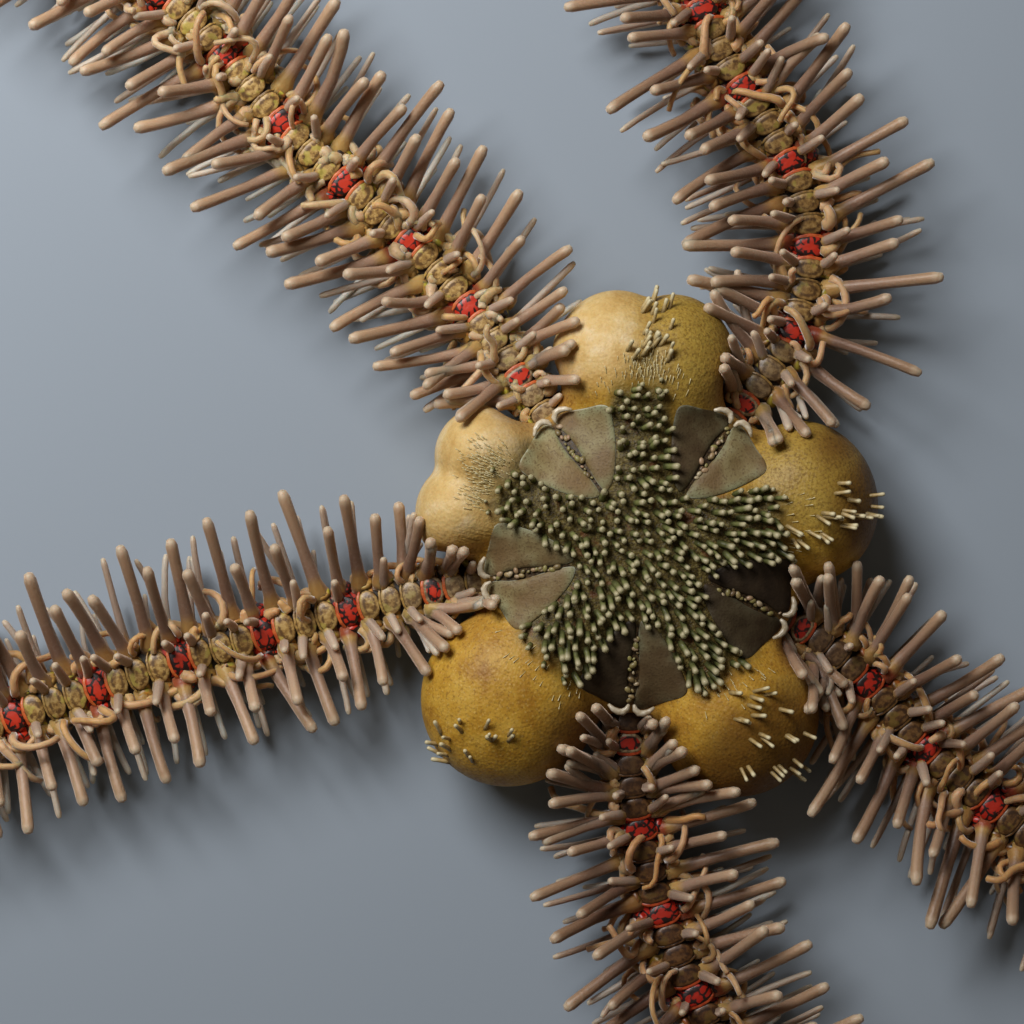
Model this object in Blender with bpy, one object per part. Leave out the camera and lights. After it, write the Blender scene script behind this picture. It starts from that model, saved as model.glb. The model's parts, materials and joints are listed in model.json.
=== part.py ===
"""A brittle star at life size, lying flat: a domed disc, five swollen lobes between
the arms, five jaws under the mouth, and five long arms that bristle with blunt spines.

Metres, +Z up. The floor is z = 0. +X is to the right and +Y to the top as seen from above.
"""

import math

import bmesh
import bpy
import numpy as np
from mathutils import Vector
from mathutils.bvhtree import BVHTree

GAP = 0.0003  # left between pieces that touch
DISC_AT = (0.00130, 0.00444)  # the disc's middle; the middle of the whole box is then on the origin
SEED = 7

# Disc
SOCKET_R = 0.0052  # from the middle to the flat that an arm grows from
LOBE_CUT_R = 0.0054  # from the middle to the flat that a lobe grows from
DISC_TOP = 0.0047
DISC_FALL_AT_ARM = 0.0013  # how far the dome has come down at an arm
DISC_FALL_AT_LOBE = 0.0002
DISC_RIM_LOW = 0.0011
MOUTH_FRAME_LOW = 0.0007
MOUTH_R = 0.0027
MOUTH_ROOF = 0.0020
MOUTH_ROOF_SHARE = 0.6  # width of the mouth's roof against its opening
UNDERSIDE_FLAT = 0.8  # share of the rim's radius where the underside stops being level
DOME_SHARES = (1.0, 0.84, 0.64, 0.40, 0.18)  # rings of the dome, from the rim inwards
COLUMNS_PER_ARM = 8

# Radial shields, in pairs at the root of each arm: (along the arm's line, to its side)
SHIELD_INNER = (0.0024, 0.00030)
SHIELD_MIDDLE = (0.0036, 0.00115)
SHIELD_SHOULDER = (0.0046, 0.00160)
SHIELD_OUTER = (0.0049, 0.00130)
SHIELD_KNOB = (0.0050, 0.00038)
SHIELD_PROUD = 0.00022
SHIELD_SUNK = 0.0005

# Spinelets, the short blunt pegs of the disc
SPINELET_SPACING = 0.00084
SPINELET_ROOT = 0.00050
SPINELET_TIP = 0.00032
SPINELET_OUT = 0.00062
SPINELET_SUNK = 0.00045
ROW_SHARE = 0.87  # rows of a staggered grid against the spacing along a row
JITTER = 0.1  # share of the spacing

# Jaws
JAW_INNER_R = 0.00045
JAW_OUTER_R = MOUTH_R - GAP
JAW_LOW = 0.0008
JAW_HIGH = MOUTH_ROOF - GAP
JAW_TIP_WIDTH = 0.00035
JAW_LOW_SHRINK = 0.75  # width at the lower face against the upper
JAW_BACK = 0.97  # the middle of the back, short of the round wall behind it

# Lobes: each has one or two bulges, (degrees from the lobe's line, distance out,
# half length outwards, half width, half height), and the pegs that stand on it
LOBE_MIDDLE_Z = 0.0023
LOBES = {
    "top": dict(
        bulges=((7, 0.0062, 0.0028, 0.0024, 0.0024), (-9, 0.0062, 0.0027, 0.0023, 0.0024)),
        pegs=9,
    ),
    "left": dict(
        bulges=((-9, 0.0059, 0.0021, 0.0019, 0.0024), (10, 0.0062, 0.0017, 0.0018, 0.0023)),
        pegs=3,
    ),
    "low_left": dict(bulges=((0, 0.0066, 0.0033, 0.0031, 0.0025),), pegs=9),
    "low_right": dict(bulges=((0, 0.0064, 0.0030, 0.0029, 0.0025),), pegs=10),
    "right": dict(bulges=((2, 0.0059, 0.0025, 0.0028, 0.0024),), pegs=9),
}
LOBE_SIDES = 14
LOBE_RINGS = 8
PEG_SWING = 0.95  # radians to each side of a lobe's line that its pegs stand within
PEG_SLOPE = (0.35, 1.45)  # radians from straight up
PEG_TRIES = 20
PEGS_APART = 1.5  # against a peg's root

# Arms: the direction that each leaves the disc in, in degrees, and the bends of its
# middle line, each (length, degrees turned to the left)
ARM_LENGTH = 0.065
ARMS = {
    "west": dict(
        leaves=190.8,
        bends=((0.002, 2), (0.006, 4), (0.008, 3), (0.005, -3), (0.016, -40), (0.014, -8), (0.010, 46)),
    ),
    "north_west": dict(
        leaves=125.0,
        bends=((0.003, -1), (0.005, 13), (0.003, 2), (0.005, -10), (0.016, 34), (0.016, -30), (0.012, -40)),
    ),
    "north_east": dict(
        leaves=54.5,
        bends=((0.002, -2), (0.008, 66), (0.0025, 7), (0.003, -14), (0.020, -66), (0.014, -16), (0.010, 36)),
    ),
    "east": dict(
        leaves=-25.5,
        bends=((0.0012, -12), (0.0041, -14), (0.002, 11), (0.004, 2), (0.020, 48), (0.020, 0), (0.012, -50)),
    ),
    "south": dict(
        leaves=266.0,
        bends=((0.0017, 10), (0.0045, 10), (0.0035, 9), (0.004, 2), (0.020, -44), (0.016, -22), (0.010, 44)),
    ),
}
LOBE_LEFT_OF_ARM = {  # the lobe that lies anticlockwise of each arm
    "north_east": "top",
    "north_west": "left",
    "west": "low_left",
    "south": "low_right",
    "east": "right",
}
COURSE_STEP = 0.0002
LIFT = 0.0008  # how high the swollen disc holds the arms' roots off the floor
LIFT_RUN = 0.007
GIRTH_AT = (0.0, 0.007, 0.020, 0.045, 0.065)
GIRTH = (0.86, 1.0, 1.0, 0.62, 0.24)
# Right half of the arm's section, from the top of its back round to its underside
SECTION = ((0.00048, 0.00190), (0.00093, 0.00142), (0.00104, 0.00076), (0.00060, 0.0))
FLUTE = 0.90  # girth at the near edge of a ring of plates, against its far edge
LENGTHS = ("base", "middle", "outer", "tip")
STATIONS = 8  # rings of spines on each length
ROOT_LENGTH = 0.0005
TIP_GIRTH = 0.6

# Spines: (face of the section, degrees above level, length)
SPINE_ROWS = ((0, 60, 0.0023), (1, 30, 0.0036), (2, 2, 0.0033))
SPINE_TIP = 0.00017  # half the width of a spine's blunt end
SPINE_LEAN = 9  # degrees towards the arm's tip
SPINE_WANDER = 4  # degrees that one spine differs from the next
SPINE_GROW_RUN = 0.006  # spines shorten over this length towards the disc
SPINE_SHORTEST = 0.55
SPINE_VARIES = (0.92, 1.06)  # of its length
GIRTH_POWER = 0.8  # how closely a spine's length follows the arm's girth
SHORTENINGS = (1.0, 0.8, 0.6)  # tried in turn where a spine doesn't fit
RAISE_STEP = 6  # degrees
STEEPEST = 85
LEAST_FACING = 0.68  # cosine between a spine and the face that it stands on
SPINE_ROOM = 0.00015  # least room between a spine's edge and the disc or a lobe
LEAST_GIRTH_FOR_TIP = 0.55
STATION_START = 0.35  # share of a station's length before its spines
ROOM_BACK = -0.001  # where the arms' room in the lobes starts and ends, along the arm
ROOM_FRONT = 0.007
ROOM_STEPS = 9
FAR = 0.02  # well past the disc on every side
DEEP = 0.01  # well past it up and down


def clear_scene():
    for obj in list(bpy.data.objects):
        bpy.data.objects.remove(obj)


def material(name, colour, roughness):
    """A plain Principled material."""
    made = bpy.data.materials.new(name)
    made.use_nodes = True
    shader = made.node_tree.nodes["Principled BSDF"]
    shader.inputs["Base Color"].default_value = (*colour, 1.0)
    shader.inputs["Roughness"].default_value = roughness
    shader.inputs["Metallic"].default_value = 0.0
    return made


def mesh_object(name, points, faces, finish=None):
    """One object from corner points and faces."""
    mesh = bpy.data.meshes.new(name)
    mesh.from_pydata([Vector(p) for p in points], [], faces)
    obj = bpy.data.objects.new(name, mesh)
    bpy.context.scene.collection.objects.link(obj)
    if finish:
        mesh.materials.append(finish)
    return obj


def face_outwards(obj):
    shape = bmesh.new()
    shape.from_mesh(obj.data)
    bmesh.ops.recalc_face_normals(shape, faces=shape.faces)
    shape.to_mesh(obj.data)
    shape.free()


def bake(obj):
    """Makes the object's modifiers part of its mesh."""
    graph = bpy.context.evaluated_depsgraph_get()
    mesh = bpy.data.meshes.new_from_object(obj.evaluated_get(graph))
    obj.modifiers.clear()
    obj.data = mesh


def keep_largest(obj):
    """Deletes every closed surface of the mesh but the largest."""
    shape = bmesh.new()
    shape.from_mesh(obj.data)
    left = set(shape.faces)
    shells = []
    while left:
        shell = {left.pop()}
        front = list(shell)
        while front:
            near = {f for e in front.pop().edges for f in e.link_faces} & left
            left -= near
            shell |= near
            front += near
        shells.append(shell)
    largest = max(shells, key=lambda shell: sum(f.calc_area() for f in shell))
    scrap = [f for shell in shells if shell is not largest for f in shell]
    if scrap:
        bmesh.ops.delete(shape, geom=scrap, context="FACES")
    shape.to_mesh(obj.data)
    shape.free()


def fuse(body, pieces):
    """Joins closed pieces to the body by one Boolean union."""
    joined = bpy.data.collections.new(body.name + "_pieces")
    bpy.context.scene.collection.children.link(joined)
    for piece in pieces:
        face_outwards(piece)
        joined.objects.link(piece)
        bpy.context.scene.collection.objects.unlink(piece)
    union = body.modifiers.new("union", "BOOLEAN")
    union.operation = "UNION"
    union.operand_type = "COLLECTION"
    union.collection = joined
    bake(body)
    for piece in pieces:
        bpy.data.objects.remove(piece)
    bpy.data.collections.remove(joined)
    keep_largest(body)


def cut(body, cutter):
    """Takes the cutter's shape out of the body."""
    face_outwards(cutter)
    cutter.hide_render = True
    cutter.display_type = "WIRE"
    difference = body.modifiers.new("cut", "BOOLEAN")
    difference.operation = "DIFFERENCE"
    difference.object = cutter
    bake(body)
    bpy.data.objects.remove(cutter)
    keep_largest(body)


def loft(rings):
    """Points and faces of a closed body through rings of the same count, with flat ends."""
    sides = len(rings[0])
    points = [p for ring in rings for p in ring]
    faces = []
    for r in range(len(rings) - 1):
        for i in range(sides):
            j = (i + 1) % sides
            faces.append((r * sides + i, r * sides + j, (r + 1) * sides + j, (r + 1) * sides + i))
    faces.append(tuple(reversed(range(sides))))
    faces.append(tuple(range(len(points) - sides, len(points))))
    return points, faces


def prism(name, outline, low, high):
    """A closed body over a flat outline, from height low to height high."""
    rings = [[(x, y, z) for x, y in outline] for z in (low, high)]
    obj = mesh_object(name, *loft(rings))
    face_outwards(obj)
    return obj


def turned(x, y, degrees):
    """A point given along and across a direction, as a place on the disc."""
    c, s = math.cos(math.radians(degrees)), math.sin(math.radians(degrees))
    return DISC_AT[0] + x * c - y * s, DISC_AT[1] + x * s + y * c


def arm_names_round():
    """The arms in anticlockwise order, with the angle of each from the first upwards."""
    names = sorted(ARMS, key=lambda n: ARMS[n]["leaves"])
    return names, [ARMS[n]["leaves"] for n in names]


NAMES_ROUND, ANGLES_ROUND = arm_names_round()


def disc_angle(turn):
    """Angle in degrees at a place round the disc, where whole turns are the arms."""
    count = len(ANGLES_ROUND)
    low = math.floor(turn)
    first = ANGLES_ROUND[low % count] + 360 * (low // count)
    second = ANGLES_ROUND[(low + 1) % count] + 360 * ((low + 1) // count)
    return first + (second - first) * (turn - low)


def lobe_angle(name):
    """The line of a lobe, midway between its two arms."""
    arm = next(a for a, lobe in LOBE_LEFT_OF_ARM.items() if lobe == name)
    return disc_angle(NAMES_ROUND.index(arm) + 0.5)


def lobeness(x, y):
    """0 on an arm's line and 1 on a lobe's line, for a place on the disc."""
    angle = math.degrees(math.atan2(y - DISC_AT[1], x - DISC_AT[0]))
    turn = np.interp(
        (angle - ANGLES_ROUND[0]) % 360,
        [a - ANGLES_ROUND[0] for a in ANGLES_ROUND] + [360],
        range(len(ANGLES_ROUND) + 1),
    )
    return 0.5 - 0.5 * math.cos(2 * math.pi * turn)


def dome(x, y):
    """Height of the disc's upper surface: a cubic fall from the middle, deepest at the arms."""
    out = math.hypot(x - DISC_AT[0], y - DISC_AT[1]) / SOCKET_R
    share = lobeness(x, y)
    fall = DISC_FALL_AT_ARM * (1 - share) + DISC_FALL_AT_LOBE * share
    return DISC_TOP - fall * out**3


def dome_normal(x, y):
    """The direction straight out of the dome."""
    step = 0.0001
    slope_x = (dome(x + step, y) - dome(x - step, y)) / (2 * step)
    slope_y = (dome(x, y + step) - dome(x, y - step)) / (2 * step)
    return Vector((-slope_x, -slope_y, 1)).normalized()


def rim_radius(turn):
    """The ten-sided edge of the disc: a flat for each arm and one for each lobe."""
    nearest = round(turn)
    to_arm = math.radians(disc_angle(turn) - disc_angle(nearest))
    middle = math.floor(turn) + 0.5
    to_lobe = math.radians(disc_angle(turn) - disc_angle(middle))
    return min(SOCKET_R / math.cos(to_arm), LOBE_CUT_R / math.cos(to_lobe))


def disc_body(finish):
    """The disc as rings: the mouth's wall, out under the frame, up the rim and in over the dome."""
    columns = len(ARMS) * COLUMNS_PER_ARM
    turns = [i / COLUMNS_PER_ARM for i in range(columns)]
    roof_edge = MOUTH_R * MOUTH_ROOF_SHARE
    under = ((roof_edge, MOUTH_ROOF), (MOUTH_R, MOUTH_ROOF), (MOUTH_R, MOUTH_FRAME_LOW))
    rings = []
    for radius, height in under:
        rings.append([(*turned(radius, 0, disc_angle(t)), height) for t in turns])
    for share, height in ((UNDERSIDE_FLAT, MOUTH_FRAME_LOW), (1.0, DISC_RIM_LOW)):
        rings.append([(*turned(rim_radius(t) * share, 0, disc_angle(t)), height) for t in turns])
    for share in DOME_SHARES:
        ring = [turned(rim_radius(t) * share, 0, disc_angle(t)) for t in turns]
        rings.append([(x, y, dome(x, y)) for x, y in ring])
    obj = mesh_object("disc", *loft(rings), finish)
    face_outwards(obj)
    return obj


def shield_outline(arm, side):
    """Outline of one radial shield, beside the line of its arm."""
    corners = [SHIELD_INNER, SHIELD_MIDDLE, SHIELD_SHOULDER, SHIELD_OUTER, SHIELD_KNOB]
    return [turned(x, side * y, ARMS[arm]["leaves"]) for x, y in corners]


def shield(arm, side):
    """A raised plate that follows the dome, sunk well into it."""
    outline = shield_outline(arm, side)
    low = [(x, y, dome(x, y) - SHIELD_SUNK) for x, y in outline]
    high = [(x, y, dome(x, y) + SHIELD_PROUD) for x, y in outline]
    return mesh_object("shield", *loft([low, high]))


def peg(root, out):
    """A spinelet: a short four-sided peg that tapers, with its root sunk in."""
    across = out.cross(Vector((0.3, 0.9, 0.2))).normalized()
    along = out.cross(across)
    rings = []
    for half, height in ((SPINELET_ROOT / 2, -SPINELET_SUNK), (SPINELET_TIP / 2, SPINELET_OUT)):
        middle = root + out * height
        corners = ((1, 1), (-1, 1), (-1, -1), (1, -1))
        rings.append([middle + (across * a + along * b) * half for a, b in corners])
    return mesh_object("peg", *loft(rings))


def in_shield_or_slit(x, y):
    """Whether a peg here would stand on a pair of shields or in the slit between them."""
    room = SPINELET_ROOT * 0.75
    for arm in ARMS.values():
        angle = math.radians(arm["leaves"])
        along = (x - DISC_AT[0]) * math.cos(angle) + (y - DISC_AT[1]) * math.sin(angle)
        across = abs(-(x - DISC_AT[0]) * math.sin(angle) + (y - DISC_AT[1]) * math.cos(angle))
        edge = np.interp(
            along,
            (SHIELD_INNER[0], SHIELD_MIDDLE[0], SHIELD_SHOULDER[0]),
            (SHIELD_INNER[1], SHIELD_MIDDLE[1], SHIELD_SHOULDER[1]),
        )
        if along > SHIELD_INNER[0] - room and across < edge + room:
            return True
    return False


def disc_pegs(draw):
    """Pegs over the middle of the disc and out along the five bands, on a staggered grid."""
    pegs = []
    row_spacing = SPINELET_SPACING * ROW_SHARE
    rows = int(LOBE_CUT_R / row_spacing) + 1
    for row in range(-rows, rows + 1):
        for column in range(-rows, rows + 1):
            x = DISC_AT[0] + (column + 0.5 * (row % 2)) * SPINELET_SPACING
            y = DISC_AT[1] + row * row_spacing
            x += draw.uniform(-JITTER, JITTER) * SPINELET_SPACING
            y += draw.uniform(-JITTER, JITTER) * SPINELET_SPACING
            out = math.hypot(x - DISC_AT[0], y - DISC_AT[1])
            if out > LOBE_CUT_R - SPINELET_ROOT * 0.8 or in_shield_or_slit(x, y):
                continue
            pegs.append(peg(Vector((x, y, dome(x, y))), dome_normal(x, y)))
    return pegs


def make_disc(finish, draw):
    body = disc_body(finish)
    shields = [shield(arm, side) for arm in ARMS for side in (-1, 1)]
    fuse(body, shields + disc_pegs(draw))


def bulge_frame(name, bulge):
    """Middle of a bulge, its outward direction in degrees and its three half sizes."""
    swing, out, length, width, height = bulge
    angle = lobe_angle(name) + swing
    return (*turned(out, 0, angle), LOBE_MIDDLE_Z), angle, (length, width, height)


def bulge_point(name, bulge, azimuth, polar):
    """A point on a bulge: an ellipsoid by azimuth from its outward line and angle from straight up."""
    (x, y, z), angle, (a, b, c) = bulge_frame(name, bulge)
    flat = math.sin(polar)
    dx, dy = turned(a * flat * math.cos(azimuth), b * flat * math.sin(azimuth), angle)
    return Vector((x + dx - DISC_AT[0], y + dy - DISC_AT[1], z + c * math.cos(polar)))


def bulge_body(name, bulge, finish=None):
    rings = []
    for i in range(1, LOBE_RINGS):
        polar = math.pi * i / LOBE_RINGS
        azimuths = [2 * math.pi * j / LOBE_SIDES for j in range(LOBE_SIDES)]
        rings.append([bulge_point(name, bulge, azimuth, polar) for azimuth in azimuths])
    obj = mesh_object("lobe_" + name, *loft(rings), finish)
    face_outwards(obj)
    return obj


def in_bulge(point, name, bulge, room):
    """Whether a point is inside a bulge grown by some room."""
    (x, y, z), angle, (a, b, c) = bulge_frame(name, bulge)
    turn = math.radians(angle)
    dx, dy = point[0] - x, point[1] - y
    along = dx * math.cos(turn) + dy * math.sin(turn)
    across = -dx * math.sin(turn) + dy * math.cos(turn)
    shares = (along / (a + room), across / (b + room), (point[2] - z) / (c + room))
    return sum(share**2 for share in shares) < 1


def lobe_pegs(name, draw):
    """A few pegs on the outer slope of a lobe."""
    pegs = []
    bulges = LOBES[name]["bulges"]
    for i in range(LOBES[name]["pegs"]):
        bulge = bulges[i % len(bulges)]
        for _ in range(PEG_TRIES):
            azimuth = draw.uniform(-PEG_SWING, PEG_SWING)
            polar = draw.uniform(*PEG_SLOPE)
            root = bulge_point(name, bulge, azimuth, polar)
            out = root - Vector(bulge_frame(name, bulge)[0])
            lone = all((root - p[0]).length > PEGS_APART * SPINELET_ROOT for p in pegs)
            others = [b for b in bulges if b != bulge]
            if lone and not any(in_bulge(root, name, b, SPINELET_ROOT) for b in others):
                pegs.append((root, out.normalized()))
                break
    return [peg(root, out) for root, out in pegs]


def make_lobe(name, finish, draw):
    """A lobe: its bulges and pegs joined, then cut flat to the disc and the floor and clear of the arms."""
    first, *others = LOBES[name]["bulges"]
    body = bulge_body(name, first, finish)
    pieces = [bulge_body(name, bulge) for bulge in others] + lobe_pegs(name, draw)
    fuse(body, pieces)
    angle = lobe_angle(name)
    reach = LOBE_CUT_R + GAP
    towards_disc = ((-reach, -FAR), (reach, -FAR), (reach, FAR), (-reach, FAR))
    floor = ((-FAR, -FAR), (FAR, -FAR), (FAR, FAR), (-FAR, FAR))
    cut(body, prism("towards_disc", [turned(x, y, angle) for x, y in towards_disc], -DEEP, DEEP))
    cut(body, prism("floor", [turned(x, y, 0) for x, y in floor], -DEEP, 0.0))
    before = next(arm for arm, lobe in LOBE_LEFT_OF_ARM.items() if lobe == name)
    after = NAMES_ROUND[(NAMES_ROUND.index(before) + 1) % len(NAMES_ROUND)]
    for arm in (before, after):
        cut(body, arm_room(arm))


def make_jaw(arm, finish):
    """A wedge that points at the mouth's middle, between the furrows of two arms."""
    index = NAMES_ROUND.index(arm)
    angle = disc_angle(index + 0.5)
    half = math.radians(disc_angle(index + 1) - disc_angle(index)) / 2
    outer_half_width = JAW_OUTER_R * math.cos(half) * math.tan(half) - GAP
    outer = JAW_OUTER_R * math.cos(half)
    rings = []
    for height, shrink in ((JAW_LOW, JAW_LOW_SHRINK), (JAW_HIGH, 1.0)):
        rings.append(
            [
                (*turned(JAW_INNER_R, -JAW_TIP_WIDTH / 2 * shrink, angle), height),
                (*turned(outer, -outer_half_width * shrink, angle), height),
                (*turned(JAW_OUTER_R * JAW_BACK, 0, angle), height),
                (*turned(outer, outer_half_width * shrink, angle), height),
                (*turned(JAW_INNER_R, JAW_TIP_WIDTH / 2 * shrink, angle), height),
            ]
        )
    jaw = mesh_object("jaw_" + LOBE_LEFT_OF_ARM[arm], *loft(rings), finish)
    face_outwards(jaw)


def arm_course(arm):
    """Distance along, x, y and heading of the arm's middle line, which turns steadily through each bend."""
    bends = ARMS[arm]["bends"]
    knots = np.cumsum([0] + [length for length, _ in bends])
    headings = ARMS[arm]["leaves"] + np.cumsum([0] + [turn for _, turn in bends])
    along = np.arange(0, ARM_LENGTH + COURSE_STEP, COURSE_STEP)
    heading = np.radians(np.interp(along, knots, headings))
    start = turned(SOCKET_R + GAP, 0, ARMS[arm]["leaves"])
    x = start[0] + np.cumsum(np.cos(heading)) * COURSE_STEP
    y = start[1] + np.cumsum(np.sin(heading)) * COURSE_STEP
    return along, x, y, heading


COURSES = {arm: arm_course(arm) for arm in ARMS}


def arm_frame(arm, distance):
    """Place on the floor under the arm's middle line, its forward direction and its left-hand one."""
    along, x, y, heading = COURSES[arm]
    turn = float(np.interp(distance, along, heading))
    place = Vector((float(np.interp(distance, along, x)), float(np.interp(distance, along, y)), 0))
    forward = Vector((math.cos(turn), math.sin(turn), 0))
    return place, forward, Vector((-forward.y, forward.x, 0))


def girth(distance):
    return float(np.interp(distance, GIRTH_AT, GIRTH))


def lift(distance):
    """Height of the arm's underside: a smooth step down from the disc to the floor."""
    share = min(1.0, distance / LIFT_RUN)
    return LIFT * (1 - share * share * (3 - 2 * share))


def arm_ring(arm, distance, scale):
    """The eight corners of the arm's section, clockwise from the top right as seen from its root."""
    place, _, left = arm_frame(arm, distance)
    size = girth(distance) * scale
    half = [(-x * size, z * size) for x, z in SECTION]
    corners = half + [(-across, z) for across, z in reversed(half)]
    return [place + left * across + Vector((0, 0, z + lift(distance))) for across, z in corners]


def arm_room(arm):
    """The space that lobes leave for an arm: its plan outline with a gap, from floor to sky."""
    reaches = np.linspace(ROOM_BACK, ROOM_FRONT, ROOM_STEPS)
    sides = ([], [])
    for reach in reaches:
        place, forward, left = arm_frame(arm, max(0.0, reach))
        place = place + forward * min(0.0, reach)
        half = SECTION[2][0] * girth(max(0.0, reach)) + GAP
        sides[0].append((place + left * half)[:2])
        sides[1].append((place - left * half)[:2])
    return prism("arm_room", sides[0] + sides[1][::-1], -DEEP, DEEP)


def spine_is_clear(corners, tip, neighbours):
    """Whether a spine keeps clear of the floor, the disc and the lobes along its four edges."""
    if min(point[2] for point in tip) < 0.0:
        return False
    for near, far in zip(corners, tip):
        for share in (0.1, 0.25, 0.4, 0.55, 0.7, 0.85, 1.0):
            point = near.lerp(far, share)
            for tree in neighbours:
                place, normal, _, apart = tree.find_nearest(point, SPINE_ROOM * 12)
                if place and (apart < SPINE_ROOM or (point - place).dot(normal) < 0):
                    return False
    return True


def spine_direction(forward, outward, rise, lean):
    """A direction that rises above level and leans along the arm, both in degrees."""
    level = outward * math.cos(math.radians(lean)) + forward * math.sin(math.radians(lean))
    return level * math.cos(math.radians(rise)) + Vector((0, 0, math.sin(math.radians(rise))))


def spine_tip(corners, direction, length, thickness):
    """Corners of a spine's blunt end: the root's corners drawn along the spine and closer together."""
    root = sum(corners, Vector()) / 4
    half = SPINE_TIP * max(thickness, LEAST_GIRTH_FOR_TIP)
    tip = []
    for corner in corners:
        spread = corner - root
        spread -= direction * spread.dot(direction)
        tip.append(root + direction * length + spread.normalized() * half * math.sqrt(2))
    return tip


def plan_spine(arm, distance, corners, outward, row, neighbours, draw):
    """The end of one spine, raised or shortened until it is clear; None where nothing fits."""
    _, forward, _ = arm_frame(arm, distance)
    rise, length = SPINE_ROWS[row][1:]
    facing = (corners[2] - corners[0]).cross(corners[3] - corners[1]).normalized()
    facing *= math.copysign(1, facing.dot(outward))
    near = min(1.0, distance / SPINE_GROW_RUN)
    length *= (SPINE_SHORTEST + (1 - SPINE_SHORTEST) * near) * girth(distance) ** GIRTH_POWER
    length *= draw.uniform(*SPINE_VARIES)
    rise += draw.uniform(-SPINE_WANDER, SPINE_WANDER) if row < 2 else 0
    lean = SPINE_LEAN * (2 * near - 1) + draw.uniform(-SPINE_WANDER, SPINE_WANDER)
    for shorter in SHORTENINGS:
        for higher in range(0, STEEPEST - int(rise), RAISE_STEP):
            direction = spine_direction(forward, outward, rise + higher, lean)
            tip = spine_tip(corners, direction, length * shorter, girth(distance))
            faces_out = direction.dot(facing) > LEAST_FACING
            if faces_out and spine_is_clear(corners, tip, neighbours):
                return tip
    return None


def make_arm_length(arm, number, finish, neighbours, draw):
    """One length of an arm: rings of plates, with a tapering spine drawn out of faces on each side."""
    run = ARM_LENGTH / len(LENGTHS)
    start = run * number
    end = run * (number + 1) - (GAP if number < len(LENGTHS) - 1 else 0)
    pitch = run / STATIONS
    rings = [arm_ring(arm, start, FLUTE)]
    station_rings = []
    for station in range(STATIONS):
        near = start + pitch * (station + STATION_START)
        far = near + ROOT_LENGTH * max(girth(near), LEAST_GIRTH_FOR_TIP)
        station_rings.append((len(rings), near, far))
        rings.append(arm_ring(arm, near, FLUTE))
        rings.append(arm_ring(arm, far, 1.0))
    rings.append(arm_ring(arm, end, TIP_GIRTH if number == len(LENGTHS) - 1 else FLUTE))
    points, faces = loft(rings)
    points = [Vector(p) for p in points]
    sides = len(rings[0])
    for first, near, far in station_rings:
        for side in (-1, 1):
            for row, (face, _, _) in enumerate(SPINE_ROWS):
                start_corner = face if side < 0 else sides - 2 - face
                quad = (
                    first * sides + start_corner,
                    first * sides + start_corner + 1,
                    (first + 1) * sides + start_corner + 1,
                    (first + 1) * sides + start_corner,
                )
                corners = [points[i] for i in quad]
                _, _, left = arm_frame(arm, near)
                tip = plan_spine(arm, near, corners, left * side, row, neighbours, draw)
                if tip:
                    draw_out_spine(points, faces, quad, tip)
    obj = mesh_object(f"arm_{arm}_{LENGTHS[number]}", points, faces, finish)
    face_outwards(obj)


def draw_out_spine(points, faces, quad, tip):
    """Replaces one face by a four-sided spine that grows from its corners to a small blunt end."""
    end = tuple(range(len(points), len(points) + 4))
    points += tip
    faces.remove(quad)
    for a in range(4):
        b = (a + 1) % 4
        faces.append((quad[a], quad[b], end[b], end[a]))
    faces.append(end)


def main():
    clear_scene()
    draw = np.random.default_rng(SEED)
    disc_finish = material("disc_green_grey", (0.17, 0.18, 0.10), 0.6)
    lobe_finish = material("lobe_ochre", (0.50, 0.34, 0.10), 0.5)
    arm_finish = material("arm_tan_brown", (0.30, 0.21, 0.13), 0.5)
    jaw_finish = material("jaw_pale", (0.62, 0.52, 0.38), 0.5)
    make_disc(disc_finish, draw)
    for name in LOBES:
        make_lobe(name, lobe_finish, draw)
    graph = bpy.context.evaluated_depsgraph_get()
    neighbours = [BVHTree.FromObject(obj, graph) for obj in bpy.context.scene.collection.objects]
    for arm in ARMS:
        make_jaw(arm, jaw_finish)
        for number in range(len(LENGTHS)):
            make_arm_length(arm, number, arm_finish, neighbours, draw)


main()
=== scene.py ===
# %% [markdown]
# # A brittle star, life size
#
# The animal is a brittle star that lies flat and is seen from straight above. A soft,
# swollen disc carries a five-rayed star of green pegs, ten grey shields and five ochre
# lobes, and five long arms bristle with blunt spines. Each part of it is worked out here
# with numpy as a surface: a rule that turns two numbers into a place in space.
#
# The solids of the animal are loaded first. They fix its size, and every piece that is
# made below takes its place from the same named sizes, in millimetres.

import json
import math

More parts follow.
